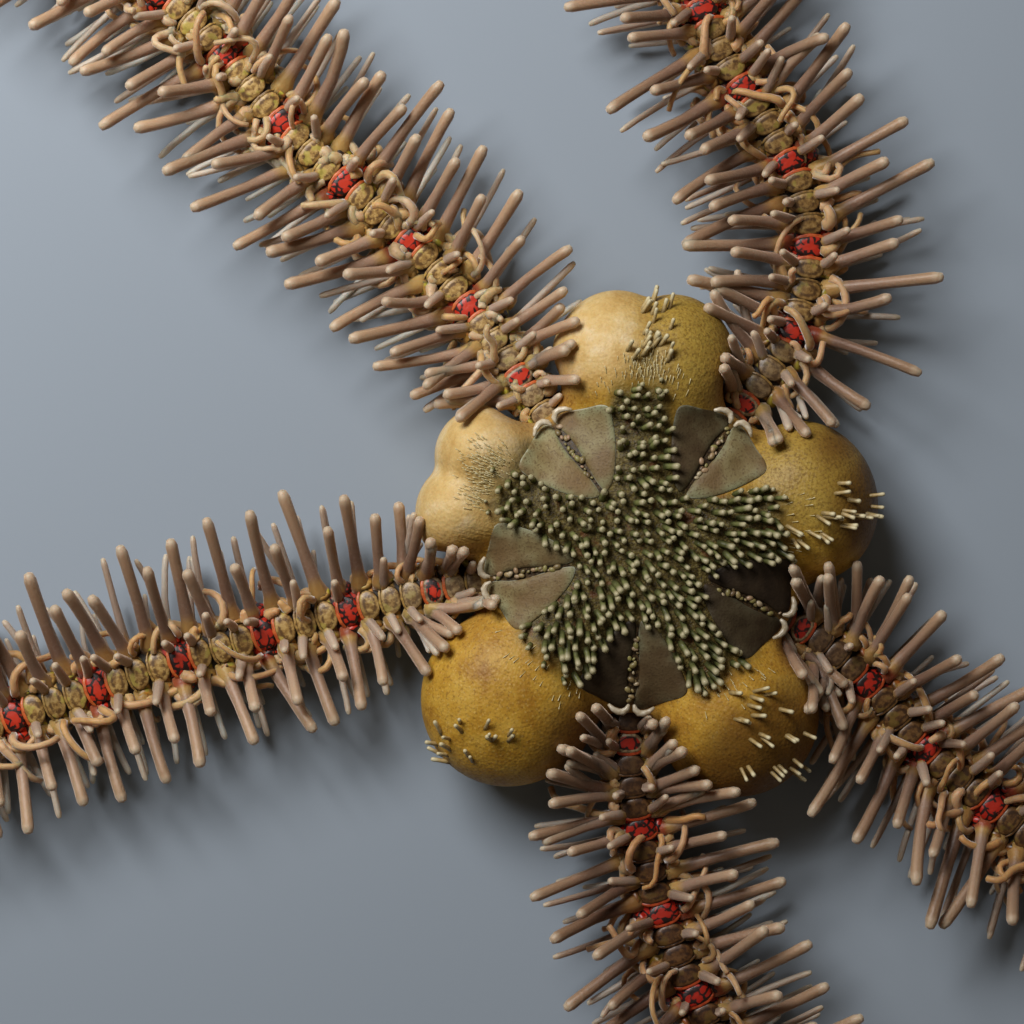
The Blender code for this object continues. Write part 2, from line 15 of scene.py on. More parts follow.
import bpy
import numpy as np
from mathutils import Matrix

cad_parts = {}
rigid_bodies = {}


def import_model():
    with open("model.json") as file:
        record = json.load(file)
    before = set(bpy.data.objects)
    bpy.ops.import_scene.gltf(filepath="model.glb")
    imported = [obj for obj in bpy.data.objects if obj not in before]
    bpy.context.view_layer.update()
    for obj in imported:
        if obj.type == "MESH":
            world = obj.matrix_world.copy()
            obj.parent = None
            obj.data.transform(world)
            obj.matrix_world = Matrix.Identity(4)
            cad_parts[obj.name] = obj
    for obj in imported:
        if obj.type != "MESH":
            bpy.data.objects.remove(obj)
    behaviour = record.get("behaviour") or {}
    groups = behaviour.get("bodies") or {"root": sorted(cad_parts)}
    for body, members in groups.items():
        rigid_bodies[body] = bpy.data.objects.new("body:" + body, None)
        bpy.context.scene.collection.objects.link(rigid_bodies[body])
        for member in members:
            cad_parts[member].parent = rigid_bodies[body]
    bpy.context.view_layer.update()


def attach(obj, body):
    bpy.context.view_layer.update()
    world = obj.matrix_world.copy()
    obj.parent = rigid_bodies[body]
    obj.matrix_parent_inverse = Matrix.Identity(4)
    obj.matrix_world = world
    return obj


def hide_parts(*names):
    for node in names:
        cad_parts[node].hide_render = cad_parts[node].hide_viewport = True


for leftover in list(bpy.data.objects):
    bpy.data.objects.remove(leftover)
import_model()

# %% [markdown]
# ## Sizes
#
# The disc's middle is not the origin, because the box of the whole animal is centred
# there. Angles are in degrees, anticlockwise from +X as seen from above. An arm leaves
# the disc along its own line, and its middle line then turns steadily through a few
# bends, each given as a length and the degrees turned to the left. Its sweeps say how far
# its spines lean towards its tip, beside the disc and further out: first for the side on
# the left of a walker who leaves the disc, and then for the right. Its comb is how many
# segments apart its longest spines stand. Its light value runs from 0, where its flesh,
# plates and feet are darkened by painted shade and partly by their own darker colour, to
# 1, where they keep their colour. Its spine tones run from 0 for dark red-brown spines to
# 1 for pale ones, one for each side, and its shields take a tone for the left one and the
# right one; both hold painted shade as well as the spines' and shields' own colour.

# %% Named sizes
MM = 0.001
SEED = 11
DISC_AT = np.array([1.30, 4.44])
SOCKET_R = 5.2
GAP = 0.3
ARM_LENGTH = 65.0
COURSE_STEP = 0.2
LIFT = 0.8
LIFT_RUN = 7.0
GIRTH_AT = (0.0, 7.0, 20.0, 45.0, 65.0)
GIRTH = (0.86, 1.0, 1.0, 0.62, 0.24)
SEGMENT = 0.76
REDS_EVERY = 4

ARMS = {
    "west": dict(
        leaves=190.8,
        bends=((2, 2), (6, 4), (8, 3), (5, -3), (16, -40), (14, -8), (10, 46)),
        first_red=1.6,
        sweeps=((-75, -2), (-50, 0)),
        comb=2.0,
        painted_light_and_tint=0.80,
        spine_lengths=(0.84, 0.97),
        spine_tints_and_shade=(0.74, 0.36),
        feet_up_to=66,
        feet=(False, True, True),
        amber=0.35,
        shield_tints_and_shade=(0.72, 0.62),
    ),
    "north_west": dict(
        leaves=125.0,
        bends=((3, -1), (5, 13), (3, 2), (5, -10), (16, 34), (16, -30), (12, -40)),
        first_red=1.6,
        sweeps=((8, 20), (-20, 14)),
        comb=2.0,
        painted_light_and_tint=0.95,
        spine_tints_and_shade=(0.80, 0.76),
        feet_up_to=84,
        amber=0.10,
        feet=(False, False, True, True),
        shield_tints_and_shade=(0.85, 0.72),
    ),
    "north_east": dict(
        leaves=54.5,
        bends=((2, -2), (8, 66), (2.5, 7), (3, -14), (20, -66), (14, -16), (10, 36)),
        first_red=0.5,
        sweeps=((15, 2), (-35, 14)),
        comb=2.6,
        painted_light_and_tint=0.44,
        spine_tints_and_shade=(0.42, 0.48),
        feet_up_to=76,
        amber=0.25,
        shield_tints_and_shade=(0.22, 0.62),
    ),
    "east": dict(
        leaves=-25.5,
        bends=((1.2, -12), (4.1, -14), (2, 11), (4, 2), (20, 48), (20, 0), (12, -50)),
        first_red=0.5,
        sweeps=((-45, 10), (65, 20)),
        comb=2.0,
        painted_light_and_tint=0.10,
        spine_tints_and_shade=(0.34, 0.40),
        feet_up_to=66,
        amber=0.25,
        shield_tints_and_shade=(0.02, 0.10),
    ),
    "south": dict(
        leaves=266.0,
        bends=((1.7, 10), (4.5, 10), (3.5, 9), (4, 2), (20, -44), (16, -22), (10, 44)),
        first_red=1.0,
        sweeps=((-60, -4), (-55, 8)),
        comb=2.0,
        painted_light_and_tint=0.02,
        spine_tints_and_shade=(0.44, 0.30),
        feet_up_to=66,
        amber=0.15,
        shield_tints_and_shade=(0.30, 0.05),
    ),
}
LOBE_Z = 2.3
LOBES = {  # bulges: (degrees from the lobe's line, distance out, half length, half width, half height)
    "top": dict(between=("north_east", "north_west"), bulges=((7, 6.2, 2.8, 2.4, 2.4), (-9, 6.2, 2.7, 2.3, 2.4))),
    "left": dict(between=("north_west", "west"), bulges=((-9, 5.9, 2.1, 1.9, 2.4), (10, 6.2, 1.7, 1.8, 2.3))),
    "low_left": dict(between=("west", "south"), bulges=((0, 6.6, 3.3, 3.1, 2.5),)),
    "low_right": dict(between=("south", "east"), bulges=((0, 6.4, 3.0, 2.9, 2.5),)),
    "right": dict(between=("east", "north_east"), bulges=((2, 5.9, 2.5, 2.8, 2.4),)),
}


def lobe_line(name):
    """The angle midway between the two arms of a lobe."""
    first, second = (ARMS[arm]["leaves"] for arm in LOBES[name]["between"])
    return first + (second - first) % 360 / 2


for name in LOBES:
    print("lobe", name, "at", round(lobe_line(name) % 360, 1), "degrees")

# %% [markdown]
# ## Small helpers
#
# Nearly everything on this animal is a closed spindle: a first pole, some rings of
# points, and a last pole. A spine is a thin spindle, a plate is a flat one, and even the
# skin of the disc is one. So one function numbers the faces of any count of spindles,
# and one function turns points and faces into a finished piece.

# %% Faces and pieces
def spindle_faces(count, rings, sides):
    """Corner numbers for spindles of pole, rings x sides, pole: four-sided faces and the triangles at the poles."""
    ring = np.arange(rings - 1)[:, None] * sides
    side = np.arange(sides)[None, :]
    after = (side + 1) % sides
    quads = 1 + np.stack([ring + side, ring + after, ring + sides + after, ring + sides + side], -1).reshape(-1, 4)
    last = 1 + (rings - 1) * sides
    end = last + sides
    side, after = side[0], after[0]
    first_fan = np.stack([np.zeros(sides, int), 1 + after, 1 + side], -1)
    last_fan = np.stack([np.full(sides, end), last + side, last + after], -1)
    tris = np.concatenate([first_fan, last_fan])
    shift = np.arange(count)[:, None, None] * (end + 1)
    return [(quads[None] + shift).reshape(-1, 4), (tris[None] + shift).reshape(-1, 3)]


def signed_volume(points, faces):
    """Six times the volume inside the faces: positive where they point outwards."""
    total = 0.0
    for group in faces:
        for corner in range(1, group.shape[1] - 1):
            a, b, c = (points[group[:, i]] for i in (0, corner, corner + 1))
            total += float((a * np.cross(b, c)).sum())
    return total


def new_piece(name, points, faces, finish, values=None, patches=None, replaces=()):
    """One smooth piece in its place, from points in millimetres, that rides on the body."""
    points = np.asarray(points, float).reshape(-1, 3)
    if signed_volume(points - points.mean(0), faces) < 0:
        faces = [group[:, ::-1] for group in faces]
    counts = np.concatenate([np.full(len(group), group.shape[1]) for group in faces])
    corners = np.concatenate([group.ravel() for group in faces]).astype(np.int32)
    mesh = bpy.data.meshes.new(name)
    mesh.vertices.add(len(points))
    mesh.vertices.foreach_set("co", (points * MM).astype(np.float32).ravel())
    mesh.loops.add(len(corners))
    mesh.loops.foreach_set("vertex_index", corners)
    mesh.polygons.add(len(counts))
    mesh.polygons.foreach_set("loop_start", np.concatenate([[0], np.cumsum(counts)[:-1]]).astype(np.int32))
    mesh.polygons.foreach_set("use_smooth", np.ones(len(counts), bool))
    for key, value in (values or {}).items():
        layer = mesh.attributes.new(key, "FLOAT", "POINT")
        layer.data.foreach_set("value", np.asarray(value, np.float32).ravel())
    if patches is not None:
        layer = mesh.uv_layers.new(name="OFBake")
        layer.data.foreach_set("uv", patches.reshape(-1, 2)[corners].astype(np.float32).ravel())
    mesh.update(calc_edges=True)
    mesh.validate()
    mesh.materials.append(finish)
    piece = bpy.data.objects.new(name, mesh)
    bpy.context.scene.collection.objects.link(piece)
    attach(piece, "root")
    if replaces:
        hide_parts(*replaces)
    print(name, len(points), "points", int((counts - 2).sum()), "triangles")
    return piece


def smooth_step(x):
    """0 below 0, 1 above 1, and an even S between."""
    x = np.clip(x, 0, 1)
    return x * x * (3 - 2 * x)


def unit(v):
    """Vectors of length one."""
    return v / np.maximum(np.linalg.norm(v, axis=-1, keepdims=True), 1e-9)


def patch_of(root_u, root_v, count, width=0.003):
    """Small squares on the unwrap: the points of each shape, spread round its root's place."""
    turn = 2 * np.pi * np.arange(count) * 0.382
    share = np.sqrt((np.arange(count) + 0.5) / count) * width / 2
    u = np.asarray(root_u)[:, None] + share * np.cos(turn)
    v = np.asarray(root_v)[:, None] + share * np.sin(turn)
    return np.stack([u, v], -1)


def tubes(middles, radii, sides, flat=1.0):
    """Closed round bodies along many paths at once: each ring is a circle square to its path.

    middles is shapes x rings x 3 and radii is shapes x rings. The ring's own cross
    directions are carried from one ring to the next, so that a curled path doesn't twist.
    """
    count, rings = radii.shape
    forward = unit(np.gradient(middles, axis=1))
    helper = np.where(np.abs(forward[:, :1, 2:]) > 0.9, [[[1.0, 0.0, 0.0]]], [[[0.0, 0.0, 1.0]]])
    across = unit(np.cross(forward[:, 0], helper[:, 0]))
    turn = 2 * np.pi * np.arange(sides) / sides
    shape = np.empty((count, rings * sides + 2, 3))
    for k in range(rings):
        across = unit(across - (across * forward[:, k]).sum(-1, keepdims=True) * forward[:, k])
        other = np.cross(forward[:, k], across)
        circle = across[:, None] * np.cos(turn)[:, None] + flat * other[:, None] * np.sin(turn)[:, None]
        shape[:, 1 + k * sides : 1 + (k + 1) * sides] = middles[:, k, None] + radii[:, k, None, None] * circle
    shape[:, 0] = middles[:, 0] - forward[:, 0] * radii[:, :1] * 0.3
    shape[:, -1] = middles[:, -1] + forward[:, -1] * radii[:, -1:] * 0.45
    return shape, spindle_faces(count, rings, sides)


def ring_values(levels, sides):
    """The same value all round each ring of a spindle, with its poles."""
    return np.concatenate([levels[:1], np.repeat(levels, sides), levels[-1:]])


print("faces of one spindle of 6 rings and 6 sides:", sum(len(f) for f in spindle_faces(1, 6, 6)))

# %% [markdown]
# ## Finishes
#
# A finish is a small tree of nodes that ends in one Principled shader. These helpers keep
# each finish down to a few readable lines: a speckle from noise, a ramp of colours, and a
# mix. All patterns read object coordinates or an attribute of the mesh, in metres, so a
# noise scale of 10,000 gives grains of a tenth of a millimetre.

# %% Finish helpers
class Finish:
    """A material with one Principled shader, and short ways to feed it."""

    def __init__(self, name, roughness=0.5, specular=0.5, coat=0.0, subsurface=0.0):
        self.material = bpy.data.materials.new(name)
        self.material.use_nodes = True
        self.tree = self.material.node_tree
        self.shader = self.tree.nodes["Principled BSDF"]
        self.shader.inputs["Roughness"].default_value = roughness
        self.shader.inputs["Specular IOR Level"].default_value = specular
        self.shader.inputs["Coat Weight"].default_value = coat
        self.shader.inputs["Coat Roughness"].default_value = 0.25
        self.shader.inputs["Subsurface Weight"].default_value = subsurface
        self.shader.inputs["Subsurface Radius"].default_value = (1.0, 0.5, 0.3)
        self.shader.inputs["Subsurface Scale"].default_value = 0.0004

    def node(self, kind, **inputs):
        made = self.tree.nodes.new(kind)
        for key, value in inputs.items():
            self.feed(made.inputs[key.replace("_", " ")], value)
        return made

    def feed(self, socket, value):
        if isinstance(value, bpy.types.NodeSocket):
            self.tree.links.new(value, socket)
        elif isinstance(value, tuple):
            socket.default_value = (*value, 1.0)
        else:
            socket.default_value = value

    def place(self):
        return self.tree.nodes.new("ShaderNodeTexCoord").outputs["Object"]

    def value(self, name):
        made = self.tree.nodes.new("ShaderNodeAttribute")
        made.attribute_name = name
        return made.outputs["Fac"]

    def noise(self, scale, detail=2.0, roughness=0.5):
        made = self.node("ShaderNodeTexNoise", Scale=scale, Detail=detail, Roughness=roughness, Vector=self.place())
        return made.outputs["Fac"]

    def cells(self, scale, feature="F1"):
        made = self.tree.nodes.new("ShaderNodeTexVoronoi")
        made.feature = feature
        made.inputs["Scale"].default_value = scale
        self.tree.links.new(self.place(), made.inputs["Vector"])
        return made.outputs["Distance"]

    def sum(self, how, a, b):
        made = self.tree.nodes.new("ShaderNodeMath")
        made.operation = how
        made.use_clamp = False
        self.feed(made.inputs[0], a)
        self.feed(made.inputs[1], b)
        return made.outputs[0]

    def step(self, value, low, high, to_low=0.0, to_high=1.0):
        made = self.tree.nodes.new("ShaderNodeMapRange")
        made.interpolation_type = "SMOOTHSTEP"
        for key, number in (("From Min", low), ("From Max", high), ("To Min", to_low), ("To Max", to_high)):
            made.inputs[key].default_value = number
        self.tree.links.new(value, made.inputs["Value"])
        return made.outputs["Result"]

    def mix(self, share, a, b, how="MIX"):
        made = self.tree.nodes.new("ShaderNodeMix")
        made.data_type = "RGBA"
        made.blend_type = how
        colours = [socket for socket in made.inputs if socket.type == "RGBA"]
        self.feed(made.inputs[0], share)
        self.feed(colours[0], a)
        self.feed(colours[1], b)
        return next(socket for socket in made.outputs if socket.type == "RGBA")

    def ramp(self, value, *stops):
        made = self.tree.nodes.new("ShaderNodeValToRGB")
        points = made.color_ramp.elements
        while len(points) < len(stops):
            points.new(0.5)
        for point, (at, colour) in zip(points, stops):
            point.position = at
            point.color = (*colour, 1.0)
        self.tree.links.new(value, made.inputs["Fac"])
        return made.outputs["Color"]

    def shaded(self, colour, dark=(0.18, 0.11, 0.08)):
        """Painted shade: the colour where the arm's light value is 1, and the colour times the dark one where it is 0;
        partly it stands for the arm's own darker colour.
        """
        return self.mix(self.value("painted_light_and_tint"), self.mix(1.0, colour, dark, "MULTIPLY"), colour)

    def colour(self, source):
        self.feed(self.shader.inputs["Base Color"], source)

    def gloss(self, source):
        self.tree.links.new(source, self.shader.inputs["Roughness"])

    def relief(self, height, distance, strength=1.0):
        made = self.node("ShaderNodeBump", Height=height, Strength=strength)
        made.inputs["Distance"].default_value = distance
        self.tree.links.new(made.outputs["Normal"], self.shader.inputs["Normal"])


print("finish helpers ready")

# %% [markdown]
# ## The skin of the disc and the lobes
#
# On the animal the disc is a thin bag, swollen by what it holds, so the middle and the
# five lobes flow into each other with soft creases, and each arm lies in a channel
# between two lobes. Joining separate balls would leave hard seams. Instead the skin is
# given as a field: a number at every place in space that is below zero inside. Each ball
# has its own field, and a smooth minimum melts them together. The skin is then found by
# walking out from the middle along many directions until the field turns positive.

# %% The field of the skin
CORE_Z = 2.65
CORE_HALF = (5.75, 5.75, 2.0)
BRIDGE = (3.3, 3.5, 2.0, 2.1)  # distance out, half length, half width, half height
BRIDGE_Z = 2.5
CREASE = 0.30
BLEND = 0.55
CHANNEL_HALF = 1.22
CHANNEL_FROM = 1.15
CHANNEL_SOFT = 0.45
MOUTH_BOWL = ((0.0, 0.0, 0.65), (2.5, 2.5, 1.0))


def course_of(arm):
    """Distance, place and heading along an arm's middle line: the heading turns steadily through each bend."""
    bends = ARMS[arm]["bends"]
    knots = np.cumsum([0] + [length for length, _ in bends])
    headings = ARMS[arm]["leaves"] + np.cumsum([0] + [turn for _, turn in bends])
    along = np.arange(0, ARM_LENGTH + COURSE_STEP, COURSE_STEP)
    heading = np.radians(np.interp(along, knots, headings))
    leaves = math.radians(ARMS[arm]["leaves"])
    start = (SOCKET_R + GAP) * np.array([math.cos(leaves), math.sin(leaves)])
    steps = np.stack([np.cos(heading), np.sin(heading)], -1) * COURSE_STEP
    return along, start + np.cumsum(steps, 0), heading


COURSES = {arm: course_of(arm) for arm in ARMS}


def smooth_least(a, b, soft):
    """The lesser of two fields, rounded where they are nearly equal."""
    share = np.clip(0.5 + 0.5 * (b - a) / soft, 0, 1)
    return b * (1 - share) + a * share - soft * share * (1 - share)


def smooth_most(a, b, soft):
    """The greater of two fields, rounded where they are nearly equal."""
    return -smooth_least(-a, -b, soft)


def ball_field(p, middle, half, turn=0.0):
    """Nearly the distance to an ellipsoid with its long side turned by some degrees."""
    c, s = math.cos(math.radians(turn)), math.sin(math.radians(turn))
    dx, dy, dz = p[..., 0] - middle[0], p[..., 1] - middle[1], p[..., 2] - middle[2]
    local = np.stack([dx * c + dy * s, -dx * s + dy * c, dz], -1) / half
    far = np.sqrt((local**2).sum(-1))
    slope = np.sqrt(((local / half) ** 2).sum(-1)) + 1e-6
    return far * (far - 1) / slope


CELL = 0.1
REACH = 12.0


def channel_grid():
    """Distance from every place on a flat grid to the nearest arm's middle line, past the disc's edge."""
    axis = np.arange(-REACH, REACH + CELL / 2, CELL)
    x, y = np.meshgrid(axis, axis, indexing="ij")
    near = np.full(x.shape, 99.0)
    for along, place, _ in COURSES.values():
        used = place[(along >= CHANNEL_FROM) & (along < 12.0)]
        for px, py in used:
            near = np.minimum(near, np.hypot(x - px, y - py))
    return near


CHANNELS = channel_grid()


def channel_field(x, y):
    """How far inside an arm's channel a place is, read between the grid's points."""
    u = np.clip((x + REACH) / CELL, 0, CHANNELS.shape[0] - 1.001)
    v = np.clip((y + REACH) / CELL, 0, CHANNELS.shape[1] - 1.001)
    i, j = u.astype(int), v.astype(int)
    fu, fv = u - i, v - j
    low = CHANNELS[i, j] * (1 - fu) + CHANNELS[i + 1, j] * fu
    high = CHANNELS[i, j + 1] * (1 - fu) + CHANNELS[i + 1, j + 1] * fu
    return CHANNEL_HALF - (low * (1 - fv) + high * fv)


def skin_field(p):
    """Below zero inside the disc and lobes. Places are measured from the disc's middle."""
    field = ball_field(p, (0, 0, CORE_Z), CORE_HALF)
    for name, lobe in LOBES.items():
        line = lobe_line(name)
        swollen = None
        for swing, out, length, width, height in lobe["bulges"]:
            turn = math.radians(line + swing)
            middle = (out * math.cos(turn), out * math.sin(turn), LOBE_Z)
            ball = ball_field(p, middle, (length, width, height), line + swing)
            swollen = ball if swollen is None else smooth_least(swollen, ball, CREASE)
        turn = math.radians(line)
        middle = (BRIDGE[0] * math.cos(turn), BRIDGE[0] * math.sin(turn), BRIDGE_Z)
        bridge = ball_field(p, middle, BRIDGE[1:], line)
        field = smooth_least(field, smooth_least(swollen, bridge, BLEND), BLEND)
    field = smooth_most(field, channel_field(p[..., 0], p[..., 1]), CHANNEL_SOFT)
    field = smooth_most(field, -ball_field(p, *MOUTH_BOWL), 0.3)
    return smooth_most(field, -p[..., 2], 0.08)


def skin_normal(p, step=0.05):
    """The direction in which the field grows fastest."""
    slopes = []
    for axis in range(3):
        shift = np.zeros(3)
        shift[axis] = step
        slopes.append(skin_field(p + shift) - skin_field(p - shift))
    return unit(np.stack(slopes, -1))


def top_of_skin(x, y):
    """Height of the skin above each place: the highest point where the field is below zero."""
    x, y = np.asarray(x, float), np.asarray(y, float)
    high = np.full(x.shape, 5.6)
    found = np.zeros(x.shape, bool)
    low = high.copy()
    for _ in range(56):
        low = np.where(found, low, low - 0.1)
        inside = skin_field(np.stack([x, y, low], -1)) < 0
        found |= inside
        high = np.where(found, high, low)
    for _ in range(10):
        middle = (high + low) / 2
        inside = skin_field(np.stack([x, y, middle], -1)) < 0
        low = np.where(inside, middle, low)
        high = np.where(inside, high, middle)
    return np.where(found, low, 0.0)


print("height over the middle:", top_of_skin([0.0], [0.0]).round(2), "mm")

# %% Walk out to the skin
SKIN_SIDES = 560
SKIN_RINGS = 168
SKIN_MIDDLE = np.array([0.0, 0.0, 2.6])
SKIN_SQUASH = 0.33
WALK_STEP = 0.12


def walk_out(directions):
    """The first place along each direction where the field turns positive."""
    far = np.full(len(directions), 0.6)
    active = np.arange(len(directions))
    while len(active):
        inside = skin_field(SKIN_MIDDLE + directions[active] * far[active, None]) < 0
        active = active[inside & (far[active] < 13)]
        far[active] += WALK_STEP
    low, high = far - WALK_STEP, far
    for _ in range(9):
        middle = (low + high) / 2
        inside = skin_field(SKIN_MIDDLE + directions * middle[:, None]) < 0
        low, high = np.where(inside, middle, low), np.where(inside, high, middle)
    return SKIN_MIDDLE + directions * ((low + high) / 2)[:, None]


def skin_points():
    """Rings of directions from straight down to straight up, squashed as the disc is, walked out to the skin."""
    polar = np.linspace(-np.pi / 2, np.pi / 2, SKIN_RINGS + 2)[1:-1, None]
    azimuth = 2 * np.pi * np.arange(SKIN_SIDES)[None] / SKIN_SIDES
    rings = np.stack(
        [np.cos(polar) * np.cos(azimuth), np.cos(polar) * np.sin(azimuth), SKIN_SQUASH * np.sin(polar) + 0 * azimuth],
        -1,
    ).reshape(-1, 3)
    down, up = np.array([[0, 0, -1.0]]), np.array([[0, 0, 1.0]])
    return walk_out(unit(np.concatenate([down, rings, up])))


def evened(points, rounds=6):
    """Each point drawn half-way to the mean of its four neighbours, then back along the normal to where the field is 0."""
    grid = points[1:-1].reshape(SKIN_RINGS, SKIN_SIDES, 3)
    for _ in range(rounds):
        mean = (np.roll(grid, 1, 1) + np.roll(grid, -1, 1)) / 2
        mean[1:-1] = (mean[1:-1] + (grid[2:] + grid[:-2]) / 2) / 2
        grid = (grid + mean) / 2
        for _ in range(2):
            grid = grid - np.clip(skin_field(grid), -0.1, 0.1)[..., None] * skin_normal(grid)
    return np.concatenate([points[:1], grid.reshape(-1, 3), points[-1:]])


skin = evened(skin_points())
print("skin reaches", np.hypot(skin[:, 0], skin[:, 1]).max().round(2), "mm out and", skin[:, 2].max().round(2), "mm up")

# %% [markdown]
# ## What colours the skin
#
# From above, the green of the middle runs out along the lobes' lines as five rays, and
# under the arms' roots the skin is red-brown. The lobes are ochre, finely stippled with
# dark brown. The two on the upper left are cream, partly their own paler skin and partly
# a painted highlight, and the lobes on the right and below carry dark brown patches of
# painted shade. None of these follow an edge of the mesh, so each is worked out as a
# share from 0 to 1 at every point, and the finish mixes its colours by them.

# %% Shares of colour over the skin
RAY_HALF = {"top": 1.25, "left": 1.75, "low_left": 1.65, "low_right": 1.55, "right": 1.45}
RAY_TO = {"top": 6.2, "left": 6.0, "low_left": 5.5, "low_right": 5.6, "right": 5.4}
RAY_TURN = {"top": 2.0, "left": -8.0, "low_left": 0.0, "low_right": 6.0, "right": -5.0}
MIDDLE_R = 2.9
PALE_AND_LIT_SPOTS = ((-6.6, 3.6, 3.2), (-5.1, 3.0, 2.0), (-1.9, 7.6, 1.9))  # x, y and radius of cream places: paler skin and a painted highlight
FINE_SPOTS = ((-5.1, 2.7, 0.75), (-5.5, 2.0, 0.3), (0.15, 6.0, 0.55))  # downy places on the lobes
OLIVE_SPOTS = ((1.9, 6.9, 2.3), (6.2, 2.9, 2.6))
# Painted shade: dark brown patches where the lobes turn away from the lamp and beside an arm's root.
PAINTED_SHADE_SPOTS = ((4.2, -7.6, 2.4), (7.4, -5.2, 2.0), (4.8, -5.4, 0.9), (8.2, 1.6, 1.8), (6.6, 3.6, 0.8), (-1.8, -6.6, 1.7))


def along_line(x, y, degrees):
    """A place as its distance along a line from the disc's middle and its distance to the left of it."""
    turn = math.radians(degrees)
    return x * math.cos(turn) + y * math.sin(turn), -x * math.sin(turn) + y * math.cos(turn)


def from_line(along, across, degrees):
    """A place on the disc from its distances along and across a line."""
    turn = math.radians(degrees)
    return along * math.cos(turn) - across * math.sin(turn), along * math.sin(turn) + across * math.cos(turn)


def green_share(x, y):
    """1 inside the five-rayed star of pegs and 0 outside, with a soft edge."""
    out = np.hypot(x, y)
    share = smooth_step((MIDDLE_R + 0.5 - out) / 0.8)
    for name in LOBES:
        a, b = along_line(x, y, lobe_line(name) + RAY_TURN[name])
        half = RAY_HALF[name] * (1 - 0.28 * smooth_step((a - 3.9) / 2.0))
        ray = smooth_step((half + 0.25 - np.abs(b)) / 0.55) * smooth_step((RAY_TO[name] - a) / 1.1) * (a > 0)
        share = np.maximum(share, ray)
    return share


def spot_share(x, y, spots):
    """1 inside round spots, fading out past their edges."""
    share = np.zeros(np.shape(x))
    for sx, sy, radius in spots:
        share = np.maximum(share, smooth_step((radius + 0.7 - np.hypot(x - sx, y - sy)) / 1.4))
    return share


def slit_share(x, y):
    """1 along the slit between each pair of shields and just round their outer ends."""
    share = np.zeros(np.shape(x))
    for arm in ARMS.values():
        a, b = along_line(x, y, arm["leaves"])
        slit = smooth_step((0.40 - np.abs(b)) / 0.2) * smooth_step((a - 2.3) / 0.3) * smooth_step((5.5 - a) / 0.3)
        share = np.maximum(share, slit)
    return share


def root_share(x, y, width):
    """1 close beside an arm's middle line and 0 beyond the width."""
    near = CHANNEL_HALF - channel_field(x, y)
    return smooth_step((width - near) / width)


x, y, z = skin.T
skin_values = {
    "green": green_share(x, y) * smooth_step((z - 2.6) / 0.8),
    "pale": spot_share(x, y, PALE_AND_LIT_SPOTS),
    "olive": spot_share(x, y, OLIVE_SPOTS),
    # The brown share is painted shade.
    "brown": spot_share(x, y, PAINTED_SHADE_SPOTS),
    "rusty": root_share(x, y, 2.6) * smooth_step((8.2 - np.hypot(x, y)) / 2.4),
    "slit": slit_share(x, y) * smooth_step((z - 1.5) / 0.8),
    "tan": spot_share(x, y, [(*from_line(6.1, 0.0, arm["leaves"]), 0.8) for arm in ARMS.values()]),
    "downy": spot_share(x, y, FINE_SPOTS),
    "under": smooth_step((1.6 - z) / 1.2),
}
print({key: round(float(value.mean()), 3) for key, value in skin_values.items()})

# %% [markdown]
# ## The finish of the skin
#
# Seen close, a lobe is a mass of ochre grains, each about a tenth of a millimetre, with
# dark brown between them and a few cream ones. A noise of that size gives the stipple, a
# wider one the cloudy change from mustard to brown, and cells of the same size give the
# grain its relief. The skin is wet, so it has a soft coat of gloss.

# %% Skin finish
GRAIN = 9500.0


